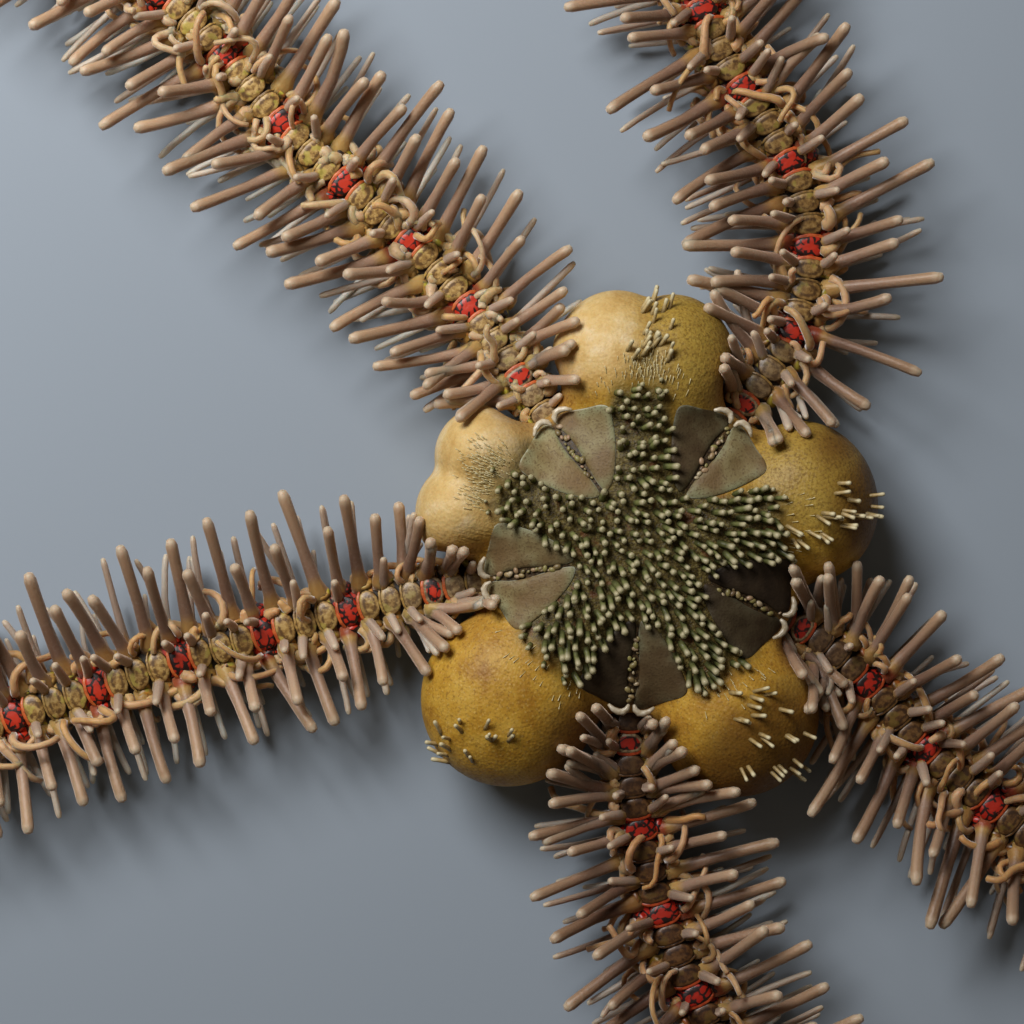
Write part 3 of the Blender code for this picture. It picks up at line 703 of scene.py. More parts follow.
def skin_finish():
    """Ochre grains with brown between them, and the shares of green, olive and rust mixed in, with cream that is partly
    a painted highlight and dark brown that is painted shade.
    """
    made = Finish("lobe_skin", roughness=0.46, specular=0.28, coat=0.03, subsurface=0.12)
    stipple = made.noise(GRAIN, 3.0, 0.7)
    clouds = made.noise(900.0, 5.0, 0.65)
    ochre = made.ramp(clouds, (0.30, (0.33, 0.148, 0.012)), (0.50, (0.50, 0.275, 0.030)), (0.70, (0.60, 0.370, 0.060)))
    dark = made.step(stipple, 0.50, 0.68, 0.0, 0.55)
    ochre = made.mix(dark, ochre, (0.17, 0.075, 0.012))
    light = made.step(made.cells(GRAIN * 0.75), 0.36, 0.10, 0.0, 0.30)
    ochre = made.mix(light, ochre, (0.70, 0.50, 0.17))
    olive = made.mix(made.step(stipple, 0.45, 0.62), (0.34, 0.25, 0.055), (0.17, 0.12, 0.025))
    ochre = made.mix(made.sum("MULTIPLY", made.value("olive"), 0.6), ochre, olive)
    # Painted shade: dark brown mixed in by the brown share.
    brown = made.mix(dark, (0.15, 0.065, 0.009), (0.05, 0.018, 0.004))
    ochre = made.mix(made.sum("MULTIPLY", made.value("brown"), 0.85), ochre, brown)
    # Cream by the pale share: partly the skin's own paler colour, partly a painted highlight.
    cream = made.ramp(clouds, (0.32, (0.58, 0.36, 0.11)), (0.50, (0.70, 0.50, 0.21)), (0.66, (0.78, 0.62, 0.37)))
    cream = made.mix(made.sum("MULTIPLY", dark, 0.5), cream, (0.46, 0.25, 0.09))
    ochre = made.mix(made.sum("MULTIPLY", made.value("pale"), 0.85), ochre, cream)
    rust = made.mix(made.step(stipple, 0.5, 0.62), (0.24, 0.095, 0.028), (0.11, 0.034, 0.01))
    ochre = made.mix(made.sum("MULTIPLY", made.value("rusty"), 0.9), ochre, rust)
    green = made.ramp(stipple, (0.35, (0.032, 0.022, 0.006)), (0.52, (0.105, 0.074, 0.018)), (0.70, (0.23, 0.180, 0.050)))
    reddish = made.step(made.noise(1700.0, 3.0), 0.60, 0.68, 0.0, 0.6)
    green = made.mix(reddish, green, (0.15, 0.045, 0.016))
    colour = made.mix(made.value("green"), ochre, green)
    slit = made.ramp(stipple, (0.40, (0.020, 0.012, 0.006)), (0.66, (0.11, 0.065, 0.025)))
    colour = made.mix(made.value("slit"), colour, slit)
    tan = made.mix(made.step(stipple, 0.48, 0.62), (0.46, 0.27, 0.07), (0.28, 0.13, 0.03))
    colour = made.mix(made.sum("MULTIPLY", made.value("tan"), 0.8), colour, tan)
    downy = made.mix(made.step(stipple, 0.42, 0.60), (0.34, 0.25, 0.090), (0.12, 0.075, 0.024))
    bare = made.sum("MULTIPLY", made.value("downy"), made.step(made.value("green"), 0.5, 0.1))
    colour = made.mix(made.sum("MULTIPLY", bare, 0.75), colour, downy)
    buff = made.mix(made.step(clouds, 0.4, 0.65), (0.46, 0.34, 0.17), (0.33, 0.22, 0.09))
    colour = made.mix(made.sum("MULTIPLY", made.value("under"), 0.8), colour, buff)
    made.colour(colour)
    made.gloss(made.step(stipple, 0.3, 0.7, 0.44, 0.60))
    grains = made.sum("ADD", made.sum("MULTIPLY", made.cells(GRAIN * 0.9), 0.6), made.noise(2200.0, 3.0))
    moss = made.sum("MULTIPLY", made.noise(3800.0, 3.0, 0.7), made.value("green"))
    grains = made.sum("ADD", grains, made.sum("MULTIPLY", moss, 4.0))
    made.relief(grains, 0.00004, 0.6)
    return made.material


azimuth = np.arctan2(y, x) / (2 * np.pi) % 1
polar = np.arctan2(z - SKIN_MIDDLE[2], SKIN_SQUASH * np.hypot(x, y)) / np.pi + 0.5
new_piece(
    "disc_skin",
    skin + [*DISC_AT, 0],
    spindle_faces(1, SKIN_RINGS, SKIN_SIDES),
    skin_finish(),
    skin_values,
    replaces=["disc"] + ["lobe_" + name for name in LOBES],
)

# %% [markdown]
# ## Radial shields
#
# Beside each arm's root lie two bony plates like long petals: a blunt inner end, a
# lateral edge that swells outwards, and a slanted outer edge that ends in a pale knob
# where the plate hinges on the arm. The outline is a closed curve through a few places,
# given along the arm's line and to its side, and the plate is that outline drawn in
# towards its middle, ring by ring, each ring raised by a profile with a thin rim.

# %% Shields
SHIELD_OUTLINE = (
    (2.36, 0.12), (2.52, 0.52), (2.98, 0.96), (3.52, 1.34), (4.08, 1.65), (4.58, 1.84), (4.86, 1.68),
    (5.08, 1.18), (5.30, 0.72), (5.42, 0.28), (5.16, 0.08), (4.60, 0.17), (4.05, 0.18), (3.40, 0.10), (2.80, 0.05),
)
SHIELD_SIDES = 84
SHIELD_RINGS = ((0.12, 0.160), (0.3, 0.157), (0.5, 0.148), (0.68, 0.132), (0.82, 0.108), (0.91, 0.082),
                (0.96, 0.058), (0.985, 0.034), (1.0, 0.0), (0.985, -0.30))



def closed_curve(corners, count):
    """A smooth closed line through corners: between two of them it is a cubic set by the two beside."""
    corners = np.asarray(corners, float)
    where = np.arange(count) * len(corners) / count
    i, t = where.astype(int), (where % 1)[:, None]
    a, b, c, d = (corners[(i + shift) % len(corners)] for shift in (-1, 0, 1, 2))
    return 0.5 * (2 * b + (c - a) * t + (2 * a - 5 * b + 4 * c - d) * t**2 + (3 * b - a - 3 * c + d) * t**3)


def shield_points(arm, side):
    """Pole, rings and pole of one plate, and how far each point is out towards the rim."""
    edge = closed_curve(SHIELD_OUTLINE, SHIELD_SIDES) * [1, side]
    middle = edge.mean(0)
    shares = np.array([0.0] + [share for share, _ in SHIELD_RINGS] + [0.0])
    raised = np.array([SHIELD_RINGS[0][1]] + [height for _, height in SHIELD_RINGS] + [SHIELD_RINGS[-1][1]])
    rows = [(middle[None] + (edge - middle) * share) for share in shares]
    rows[0], rows[-1] = rows[0][:1], rows[-1][:1]
    flat = np.concatenate(rows)
    out = ring_values(shares[1:-1], SHIELD_SIDES)
    up = ring_values(raised[1:-1], SHIELD_SIDES)
    out[0] = out[-1] = 0.0
    px, py = from_line(flat[:, 0], flat[:, 1], ARMS[arm]["leaves"])
    return np.stack([px, py, top_of_skin(px, py) + up], -1), out, flat


def shield_finish():
    """Brown-grey bone with a fine stipple and a blue-green bloom towards its outer side, mixed from lit and dim copies
    by its tone, which is painted shade and partly the bone's own darker colour, with a painted glint along a thin pale
    edge.
    """
    made = Finish("shield_bone", roughness=0.55, specular=0.3)
    grain = made.noise(1500.0, 4.0)
    dots = made.step(made.noise(13000.0, 1.0), 0.54, 0.68, 0.0, 0.65)
    lit = made.ramp(grain, (0.35, (0.25, 0.175, 0.070)), (0.55, (0.33, 0.26, 0.115)), (0.75, (0.42, 0.37, 0.19)))
    bloom = made.sum("MULTIPLY", made.step(made.value("out"), 0.55, 0.98), made.step(grain, 0.35, 0.6))
    lit = made.mix(made.sum("MULTIPLY", bloom, 0.6), lit, (0.34, 0.38, 0.22))
    worn = made.sum("MULTIPLY", made.step(made.noise(600.0, 3.0), 0.45, 0.62), 0.7)
    lit = made.mix(worn, lit, (0.23, 0.135, 0.055))
    lit = made.mix(dots, lit, (0.15, 0.095, 0.04))
    dim = made.ramp(grain, (0.35, (0.016, 0.009, 0.005)), (0.75, (0.042, 0.026, 0.014)))
    # Painted shade: the tone mixes a dim copy into the lit one on shields away from the lamp, partly their own darker
    # colour.
    colour = made.mix(made.value("tone"), dim, lit)
    # Painted glint: a pale blue-white highlight along the rim, stronger on the lit shields.
    edge = made.sum("MULTIPLY", made.step(made.value("out"), 0.95, 0.985), made.step(grain, 0.42, 0.58))
    edge = made.sum("MULTIPLY", edge, made.sum("MULTIPLY", made.value("tone"), 0.8))
    colour = made.mix(edge, colour, (0.55, 0.57, 0.46))
    made.colour(made.mix(made.step(made.value("out"), 0.99, 1.0), colour, (0.11, 0.080, 0.038)))
    made.relief(made.sum("ADD", grain, made.sum("MULTIPLY", made.noise(13000.0, 1.0), 0.3)), 0.00006, 0.7)
    return made.material


SHIELD_FINISH = shield_finish()
shape_count = SHIELD_SIDES * len(SHIELD_RINGS) + 2
all_points, all_values = [], {"out": [], "tone": []}
for arm in ARMS:
    for side in (-1, 1):
        points, out, flat = shield_points(arm, side)
        all_points.append(points + [*DISC_AT, 0])
        all_values["out"].append(out)
        # Each shield's tone holds painted shade as well as its own colour.
        all_values["tone"].append(np.full(len(out), ARMS[arm]["shield_tints_and_shade"][side < 0]))
lefts, rights = all_points[1::2], all_points[0::2]
for name, group, side in (("shields_left", lefts, 1), ("shields_right", rights, 0)):
    values = {key: np.concatenate(value[side::2]) for key, value in all_values.items()}
    faces = spindle_faces(len(group), len(SHIELD_RINGS), SHIELD_SIDES)
    new_piece(name, np.concatenate(group), faces, SHIELD_FINISH, values)

# %% Knobs at the shields' outer ends and the small scales in the slit between each pair
KNOB = ((5.30, 0.78), (5.45, 0.62), (5.53, 0.44), (5.53, 0.27), (5.42, 0.14), (5.26, 0.09))
KNOB_RADII = (0.05, 0.09, 0.115, 0.12, 0.10, 0.05)
KNOB_DROP = (0.0, 0.01, 0.03, 0.05, 0.03, 0.0)
KNOB_REST = 4.9  # the knob takes its height from the skin at this distance out
SLIT_SCALES = 18
SLIT_FROM = 2.95
SLIT_TO = 5.05


def knob_finish():
    made = Finish("knob_bone", roughness=0.35, specular=0.5, coat=0.2)
    grain = made.noise(6000.0, 3.0)
    lit = made.ramp(grain, (0.35, (0.56, 0.44, 0.27)), (0.65, (0.86, 0.77, 0.60)))
    # Painted shade: the knobs are dimmed by the tone taken from their shields, partly their own darker colour.
    made.colour(made.mix(made.value("tone"), (0.15, 0.11, 0.07), lit))
    made.relief(grain, 0.00003, 0.5)
    return made.material


def knob_points():
    """A bent spindle along the slanted outer edge of each shield."""
    middles, tones = [], []
    along, across = np.array(KNOB).T
    for sizes in ARMS.values():
        for side in (-1, 1):
            px, py = from_line(along, across * side, sizes["leaves"])
            rest_x, rest_y = from_line(np.full(len(along), KNOB_REST), across * side, sizes["leaves"])
            height = top_of_skin(rest_x, rest_y) + 0.10 - np.array(KNOB_DROP)
            middles.append(np.stack([px, py, height], -1))
            # The knob's tone follows the brighter shield of its pair, which holds painted shade.
            tones.append(0.35 + 0.65 * max(sizes["shield_tints_and_shade"]))
    return np.array(middles), np.array(tones)


middles, tones = knob_points()
points, faces = tubes(middles, np.tile(KNOB_RADII, (len(middles), 1)), 12)
values = {"tone": np.repeat(tones, points.shape[1])}
new_piece("knobs", points + [*DISC_AT, 0], faces, knob_finish(), values)


def scale_finish():
    """Small scales: cream to tan and yellow-green from one to the next, darker at the rim."""
    made = Finish("slit_scales", roughness=0.45, coat=0.15)
    grain = made.noise(4200.0, 3.0)
    body = made.ramp(made.value("tone"), (0.0, (0.12, 0.07, 0.035)), (0.35, (0.28, 0.25, 0.08)), (0.65, (0.36, 0.22, 0.13)), (1.0, (0.46, 0.38, 0.24)))
    body = made.mix(made.step(grain, 0.45, 0.65, 0.0, 0.5), body, (0.22, 0.15, 0.06))
    made.colour(made.mix(made.step(made.value("out"), 0.7, 1.0), body, (0.05, 0.032, 0.015)))
    made.relief(grain, 0.00003, 0.5)
    return made.material


def lids(places, outs, alongs, half_long, half_wide, high, sides, rings=((0.5, 0.93), (0.82, 0.62), (1.0, 0.0), (0.92, -0.7))):
    """Low oval domes, as scales are: each ring is an oval round the place, raised by its share of the height."""
    acrosses = unit(np.cross(outs, alongs))
    alongs = np.cross(acrosses, outs)
    turn = 2 * np.pi * np.arange(sides) / sides
    shape = np.empty((len(places), sides * len(rings) + 2, 3))
    for k, (share, rise) in enumerate(rings):
        oval = (
            alongs[:, None] * (half_long[:, None] * share * np.cos(turn))[..., None]
            + acrosses[:, None] * (half_wide[:, None] * share * np.sin(turn))[..., None]
        )
        ring = places[:, None] + oval + outs[:, None] * (high * rise)[:, None, None]
        shape[:, 1 + k * sides : 1 + (k + 1) * sides] = ring
    shape[:, 0] = places + outs * high[:, None]
    shape[:, -1] = places + outs * (high * rings[-1][1])[:, None]
    return shape, spindle_faces(len(places), len(rings), sides), ring_values(np.array([r[0] for r in rings]), sides)


def slit_scales(draw):
    """A loose row of small ovals down the slit of each pair, none quite in line."""
    along = np.linspace(SLIT_FROM, SLIT_TO, SLIT_SCALES)
    places, alongs = [], []
    for arm in ARMS.values():
        a = along + draw.normal(0, 0.05, SLIT_SCALES)
        px, py = from_line(a, draw.normal(0, 0.085, SLIT_SCALES), arm["leaves"])
        places.append(np.stack([px, py], -1))
        turn = math.radians(arm["leaves"]) + draw.normal(0, 0.7, SLIT_SCALES)
        alongs.append(np.stack([np.cos(turn), np.sin(turn), 0 * turn], -1))
    flat, alongs = np.concatenate(places), np.concatenate(alongs)
    places = np.column_stack([flat, top_of_skin(flat[:, 0], flat[:, 1]) + 0.04])
    sizes = draw.uniform(0.045, 0.115, len(flat))
    shape, faces, out = lids(places, skin_normal(places), alongs, sizes * 1.45, sizes, sizes, 12)
    tone = np.repeat(draw.uniform(0, 1, len(flat)), shape.shape[1])
    return shape, faces, {"out": np.tile(out, len(flat)), "tone": tone}


points, faces, values = slit_scales(np.random.default_rng(SEED + 1))
new_piece("slit_scales", points + [*DISC_AT, 0], faces, scale_finish(), values)

# %% [markdown]
# ## Spinelets of the disc
#
# The green star is covered with about four hundred blunt pegs, each a quarter of a
# millimetre thick with a pale tip. They stand on a staggered grid that is jittered so
# that no rows show, keep off the shields, and lean outwards and a little to one side.
# Each is a spindle of a few dozen faces, and all of them are one mesh.

# %% Where the pegs stand
PEG_APART = 0.395
PEG_LENGTH = 0.50
PEG_RADIUS = 0.108
PEG_LEAN = np.array([0.42, -0.38, 0.0])
PEG_SHARES = np.array([-0.25, 0.15, 0.55, 0.87, 1.0])
PEG_GIRTH = np.array([1.25, 1.04, 0.92, 1.00, 0.80])
TIP_MIDDLE = 1.4  # stands for the very middle of a tip, which is darker than its edge
FINE_APART = 0.105
FINE_LENGTH = 0.19
FINE_RADIUS = 0.015


def on_shield(x, y, room):
    """Whether a place is on a shield or in the slit of a pair, with some room round them."""
    outline = np.array(SHIELD_OUTLINE)
    edge = outline[(outline[:, 1] > 0.6) | (outline[:, 0] < 2.6)][:7]
    found = np.zeros(np.shape(x), bool)
    for arm in ARMS.values():
        a, b = along_line(x, y, arm["leaves"])
        half = np.interp(a, edge[:, 0], edge[:, 1])
        found |= (a > outline[:, 0].min() - room) & (np.abs(b) < half + room)
    return found


def staggered(apart, draw):
    """A staggered grid of places over the disc, jittered so that no rows show."""
    rows, columns = int(8.5 / (apart * 0.866)), int(8.5 / apart)
    row, column = np.meshgrid(np.arange(-rows, rows + 1), np.arange(-columns, columns + 1), indexing="ij")
    px = (column + 0.5 * (row % 2)) * apart
    py = row * apart * 0.866
    px, py = (v + draw.uniform(-0.34, 0.34, v.shape) * apart for v in (px, py))
    return px.ravel(), py.ravel()


def peg_places(draw):
    """Places kept to the green star, off the shields."""
    px, py = staggered(PEG_APART, draw)
    kept = (draw.uniform(0, 1, len(px)) < green_share(px, py) * 1.15 - 0.1) & ~on_shield(px, py, -0.03)
    return px[kept], py[kept]


def fine_places(draw):
    """Places for the fine down where the star fades into the lobes, most of it on the left lobe."""
    px, py = staggered(FINE_APART, draw)
    green = green_share(px, py)
    wide = np.maximum(spot_share(px, py, FINE_SPOTS), 0.0)
    for name in LOBES:
        a, b = along_line(px, py, lobe_line(name) + RAY_TURN[name])
        near = smooth_step((1.9 - np.abs(b)) / 0.7) * smooth_step((RAY_TO[name] + 0.7 - a) / 0.9) * (a > 1.5)
        wide = np.maximum(wide, 0.10 * near)
    share = wide * (1 - green)
    kept = (draw.uniform(0, 1, len(px)) < share) & ~on_shield(px, py, 0.05)
    return px[kept], py[kept]


def pegs(px, py, leans, lengths, radii, draw, sides=6):
    """Blunt pegs rooted at places on the skin: along the skin's own outward line, bent over by each lean."""
    roots = np.stack([px, py, top_of_skin(px, py)], -1)
    outs = skin_normal(roots)
    aims = unit(outs + leans + draw.normal(0, 0.16, roots.shape))
    middles = roots[:, None] + aims[:, None] * (lengths[:, None] * PEG_SHARES)[..., None]
    shape, faces = tubes(middles, radii[:, None] * PEG_GIRTH, sides)
    count = shape.shape[1]
    azimuth = np.arctan2(py, px) / (2 * np.pi) % 1
    patches = patch_of(azimuth, np.hypot(px, py) / 12, count)
    along = ring_values(np.clip(PEG_SHARES, 0, 1), sides)
    along[-1] = TIP_MIDDLE
    along = np.tile(along, len(px))
    # Painted light and shade: the (py - px) term makes pegs lighter towards the upper left and darker towards the lower
    # right.
    tone = np.repeat(np.clip(draw.uniform(0.1, 0.8, len(px)) + 0.07 * (py - px), 0, 1), count)
    return shape + [*DISC_AT, 0], faces, {"along": along, "tone": tone}, patches


def peg_finish(name, shaft_low, shaft_high, tip, root=0.4):
    """Translucent pegs: darker below, with a pale blunt tip, and no two quite alike."""
    made = Finish(name, roughness=0.45, specular=0.4, coat=0.08)
    shaft = made.mix(made.value("tone"), shaft_low, shaft_high)
    shaft = made.mix(made.step(made.noise(9000.0, 2.0), 0.55, 0.7, 0.0, 0.5), shaft, tuple(c * 0.5 for c in shaft_low))
    shaft = made.mix(made.step(made.value("along"), 0.40, 0.90), shaft, tip)
    shaft = made.mix(made.step(made.value("along"), 1.02, 1.3, 0.0, 0.5), shaft, shaft_high)
    rooted = made.step(made.value("along"), 0.30, 0.0, 0.0, 0.6)
    made.colour(made.mix(rooted, shaft, tuple(c * root for c in shaft_low)))
    made.relief(made.noise(12000.0, 2.0), 0.00002, 0.5)
    return made.material


GREEN_LOW, GREEN_HIGH, GREEN_TIP = (0.078, 0.082, 0.023), (0.20, 0.210, 0.070), (0.44, 0.385, 0.230)
DOWN_LOW, DOWN_HIGH, DOWN_TIP = (0.54, 0.42, 0.17), (0.72, 0.60, 0.29), (0.78, 0.70, 0.44)
DOWN_LEAN = 2.8


def lean_out(px, py):
    """Leans that grow away from the middle, with the same slant to one side for all."""
    out = np.hypot(px, py)
    outward = np.stack([px, py, 0 * px], -1) / np.maximum(out, 0.5)[:, None]
    slant = PEG_LEAN * (1.0 - 0.4 * smooth_step(out / 6.0))[:, None]
    return outward * (0.10 + 0.38 * smooth_step(out / 5.0))[:, None] + slant


draw = np.random.default_rng(SEED)
px, py = peg_places(draw)
lengths = PEG_LENGTH * draw.uniform(0.75, 1.15, len(px)) * (0.85 + 0.2 * smooth_step(np.hypot(px, py) / 5))
shrunk = 0.55 + 0.45 * smooth_step((green_share(px, py) - 0.25) / 0.6)
lengths = lengths * shrunk
radii = PEG_RADIUS * draw.uniform(0.85, 1.15, len(px)) * (1 + 0.12 * smooth_step(-py / 4)) * shrunk**0.7
points, faces, values, patches = pegs(px, py, lean_out(px, py), lengths, radii, draw)
finish = peg_finish("peg_green", GREEN_LOW, GREEN_HIGH, GREEN_TIP)
new_piece("disc_spinelets", points, faces, finish, values, patches)
print(len(px), "pegs on the disc")

# %% Fine down round the star
px, py = fine_places(draw)
lengths = FINE_LENGTH * draw.uniform(0.7, 1.3, len(px))
points, faces, values, patches = pegs(
    px, py, np.stack([px, py, 0 * px], -1) / np.hypot(px, py)[:, None] * DOWN_LEAN, lengths, FINE_RADIUS * draw.uniform(0.8, 1.3, len(px)), draw, sides=4
)
finish = peg_finish("peg_down", DOWN_LOW, DOWN_HIGH, DOWN_TIP, root=0.8)
new_piece("disc_down", points, faces, finish, values, patches)
print(len(px), "hairs of down")

# %% [markdown]
# ## Spinelets of the lobes
#
# A few paler pegs stand on the outer slope of four of the lobes, in loose groups.

# %% Pegs on the lobes
LOBE_PEGS = {  # middle of the group, its spread, its lean and the count
    "top": dict(at=(0.45, 7.7), spread=(0.55, 0.9), lean=(0.55, 0.75), count=15),
    "top_low": dict(at=(0.1, 6.7), spread=(0.9, 0.5), lean=(0.3, 0.75), count=10),
    "right": dict(at=(6.9, 1.6), spread=(1.0, 0.8), lean=(1.3, -0.1), count=17),
    "right_in": dict(at=(5.6, 0.9), spread=(0.7, 0.6), lean=(1.0, -0.5), count=8),
    "low_right": dict(at=(4.5, -6.7), spread=(1.2, 0.9), lean=(0.75, -0.45), count=16),
    "low_right_in": dict(at=(4.0, -5.2), spread=(1.2, 0.5), lean=(0.9, -0.2), count=9),
    "low_left": dict(at=(-5.9, -6.7), spread=(1.4, 0.9), lean=(0.25, 0.75), count=19),
}
group_x, group_y, group_lean = [], [], []
for group in LOBE_PEGS.values():
    for axis, store in ((0, group_x), (1, group_y)):
        store.append(group["at"][axis] + draw.uniform(-1, 1, group["count"]) * group["spread"][axis])
    group_lean.append(np.tile([*group["lean"], 0.0], (group["count"], 1)))
px, py, leans = np.concatenate(group_x), np.concatenate(group_y), np.concatenate(group_lean)
kept = top_of_skin(px, py) > 1.0
px, py, leans = px[kept], py[kept], leans[kept]
points, faces, values, patches = pegs(
    px, py, leans, 0.48 * draw.uniform(0.8, 1.2, len(px)), 0.072 * draw.uniform(0.9, 1.15, len(px)), draw
)
finish = peg_finish("peg_pale", (0.40, 0.28, 0.11), (0.52, 0.39, 0.18), (0.66, 0.58, 0.36))
new_piece("lobe_spinelets", points, faces, finish, values, patches)

# %% [markdown]
# ## Arms: their course, section and segments
#
# An arm is a chain of nearly equal segments. Its section is a rounded square, which is a
# circle's rule with a higher power, and every place on it is found from three numbers:
# the distance along the arm, the angle round the section, and the height above the
# surface. Whatever stands on an arm is placed by that one function.

# %% Places on an arm
BACK = 1.5  # how far an arm runs back under the shields
HALF_WIDE = 1.0
HALF_HIGH = 0.95
SQUARENESS = 2.5
PITCH_AT = (0.0, 20.0, 45.0, 65.0)
PITCH = (0.76, 0.76, 0.60, 0.40)


def girth(s):
    return np.interp(s, GIRTH_AT, GIRTH)


def lift(s):
    """Height of the arm's underside: an even S from the disc down to the floor."""
    return LIFT * (1 - smooth_step(np.asarray(s, float) / LIFT_RUN))


def line_of(arm, s):
    """Place on the floor, forward and left-hand directions at distances along an arm."""
    along, place, heading = COURSES[arm]
    s = np.asarray(s, float)
    turn = np.interp(s, along, heading)
    forward = np.stack([np.cos(turn), np.sin(turn), 0 * s], -1)
    left = np.stack([-np.sin(turn), np.cos(turn), 0 * s], -1)
    flat = np.stack([np.interp(s, along, place[:, 0]), np.interp(s, along, place[:, 1]), 0 * s], -1)
    return flat + forward * np.minimum(s, 0.0)[..., None], forward, left


def on_arm(arm, s, angle, rise=0.0):
    """Place and outward direction on an arm: distance along, angle round from its left side, height above it."""
    s, angle, rise = np.broadcast_arrays(*(np.asarray(v, float) for v in (s, angle, rise)))
    c, n = np.cos(angle), np.sin(angle)
    power = 2 / SQUARENESS
    side, up = np.sign(c) * np.abs(c) ** power, np.sign(n) * np.abs(n) ** power
    size = girth(s)
    place, forward, left = line_of(arm, s)
    facing = np.stack([np.sign(c) * np.abs(c) ** (2 - power) / HALF_WIDE, np.sign(n) * np.abs(n) ** (2 - power) / HALF_HIGH])
    facing = facing / np.linalg.norm(facing, axis=0)
    out = left * facing[0][..., None]
    out[..., 2] += facing[1]
    point = place + left * (side * HALF_WIDE * size)[..., None]
    point[..., 2] += HALF_HIGH * size * (1 + up) + lift(s)
    return point + out * rise[..., None], out


def segments_of(arm):
    """Middle of each segment along the arm, and its number counted from the first red one."""
    first = ARMS[arm]["first_red"]
    middles = [first]
    while middles[-1] < ARM_LENGTH - 0.6:
        middles.append(middles[-1] + np.interp(middles[-1], PITCH_AT, PITCH))
    inner = int((first + 0.9) / SEGMENT)
    middles = [first - SEGMENT * n for n in range(inner, 0, -1)] + middles
    return np.array(middles), np.arange(-inner, len(middles) - inner)


SEGMENTS = {arm: segments_of(arm) for arm in ARMS}


def place_in_segment(arm, s):
    """The segment's number as a running value: whole at a segment's middle and half-way at a joint."""
    middles, numbers = SEGMENTS[arm]
    inner = numbers[0] + (s - middles[0]) / SEGMENT
    outer = numbers[-1] + (s - middles[-1]) / PITCH[-1]
    return np.where(s < middles[0], inner, np.where(s > middles[-1], outer, np.interp(s, middles, numbers)))


def red_share(number):
    """1 on every fourth segment and close beside it, 0 elsewhere. The first one is no wider than its plate."""
    from_red = (number + REDS_EVERY / 2) % REDS_EVERY - REDS_EVERY / 2
    return smooth_step((0.85 - np.abs(from_red + 0.08)) / 0.35) * (number > 2)


for arm in ARMS:
    print(arm, len(SEGMENTS[arm][0]), "segments")

# %% [markdown]
# ## Skin of the arms
#
# Under the plates an arm is a soft tube that is pinched at every joint. It shows as dark
# lines between the back plates and as mottled olive and tan on the sides.

# %% Arm skins
ARM_SIDES = 28
ARM_STEP = 0.125
PINCH = 0.05


def arm_skin(arm):
    """Rings of the section along the arm, swollen at each segment's middle and pinched at its joints."""
    s = np.arange(-BACK, ARM_LENGTH, ARM_STEP)
    angle = 2 * np.pi * np.arange(ARM_SIDES) / ARM_SIDES
    number = place_in_segment(arm, s)
    wave = np.cos(2 * np.pi * number)
    sink = (-0.07 + PINCH * wave)[:, None] * (0.75 + 0.25 * np.abs(np.cos(angle)))
    grid, _ = on_arm(arm, s[:, None], angle[None], sink * girth(s)[:, None])
    first, _ = on_arm(arm, s[0] - 0.05, np.pi / 2, -HALF_HIGH * girth(s[0]))
    last, _ = on_arm(arm, s[-1] + 0.15, np.pi / 2, -HALF_HIGH * girth(s[-1]))
    points = np.concatenate([first[None], grid.reshape(-1, 3), last[None]])
    values = {
        "joint": ring_values(0.5 - 0.5 * wave, ARM_SIDES),
        "red": ring_values(red_share(number), ARM_SIDES),
        "high": np.concatenate([[0], np.tile(np.sin(angle), len(s)), [0]]),
        # Painted shade: one value per arm that darkens the arms away from the lamp, partly their own darker colour.
        "painted_light_and_tint": np.full(len(points), ARMS[arm]["painted_light_and_tint"]),
    }
    return points, spindle_faces(1, len(s), ARM_SIDES), values


def spotted_side(made):
    """Tan and olive flesh with orange and yellow-green spots and black marks, as on the arm's sides."""
    mottle = made.noise(3000.0, 3.0, 0.6)
    side = made.ramp(mottle, (0.34, (0.17, 0.085, 0.018)), (0.50, (0.50, 0.285, 0.060)), (0.66, (0.66, 0.42, 0.13)))
    orange = made.step(made.noise(2300.0, 1.0), 0.60, 0.66, 0.0, 0.85)
    side = made.mix(orange, side, (0.70, 0.28, 0.045))
    shifted = made.node("ShaderNodeVectorMath", Vector=made.place())
    shifted.inputs[1].default_value = (0.013, 0.007, 0.011)
    yellow = made.node("ShaderNodeTexNoise", Scale=2100.0, Detail=1.0, Vector=shifted.outputs["Vector"]).outputs["Fac"]
    side = made.mix(made.step(yellow, 0.54, 0.60, 0.0, 0.9), side, (0.56, 0.52, 0.06))
    black = made.node("ShaderNodeTexNoise", Scale=3300.0, Detail=2.0, Vector=shifted.outputs["Vector"]).outputs["Fac"]
    return made.mix(made.step(black, 0.41, 0.35), side, (0.022, 0.013, 0.008))


def red_net(made):
    """Red patches parted by black lines of uneven width."""
    edges = made.cells(3700.0, "DISTANCE_TO_EDGE")
    uneven = made.sum("ADD", edges, made.sum("MULTIPLY", made.noise(5200.0, 2.0), 0.40))
    return made.mix(made.step(uneven, 0.29, 0.37), (0.018, 0.006, 0.005), (0.54, 0.028, 0.008))


# Painted shade: the reds on the arms away from the lamp are darkened by these factors.
RED_SHADED = (0.62, 0.36, 0.30)  # what the reds are multiplied by on an arm in full shade


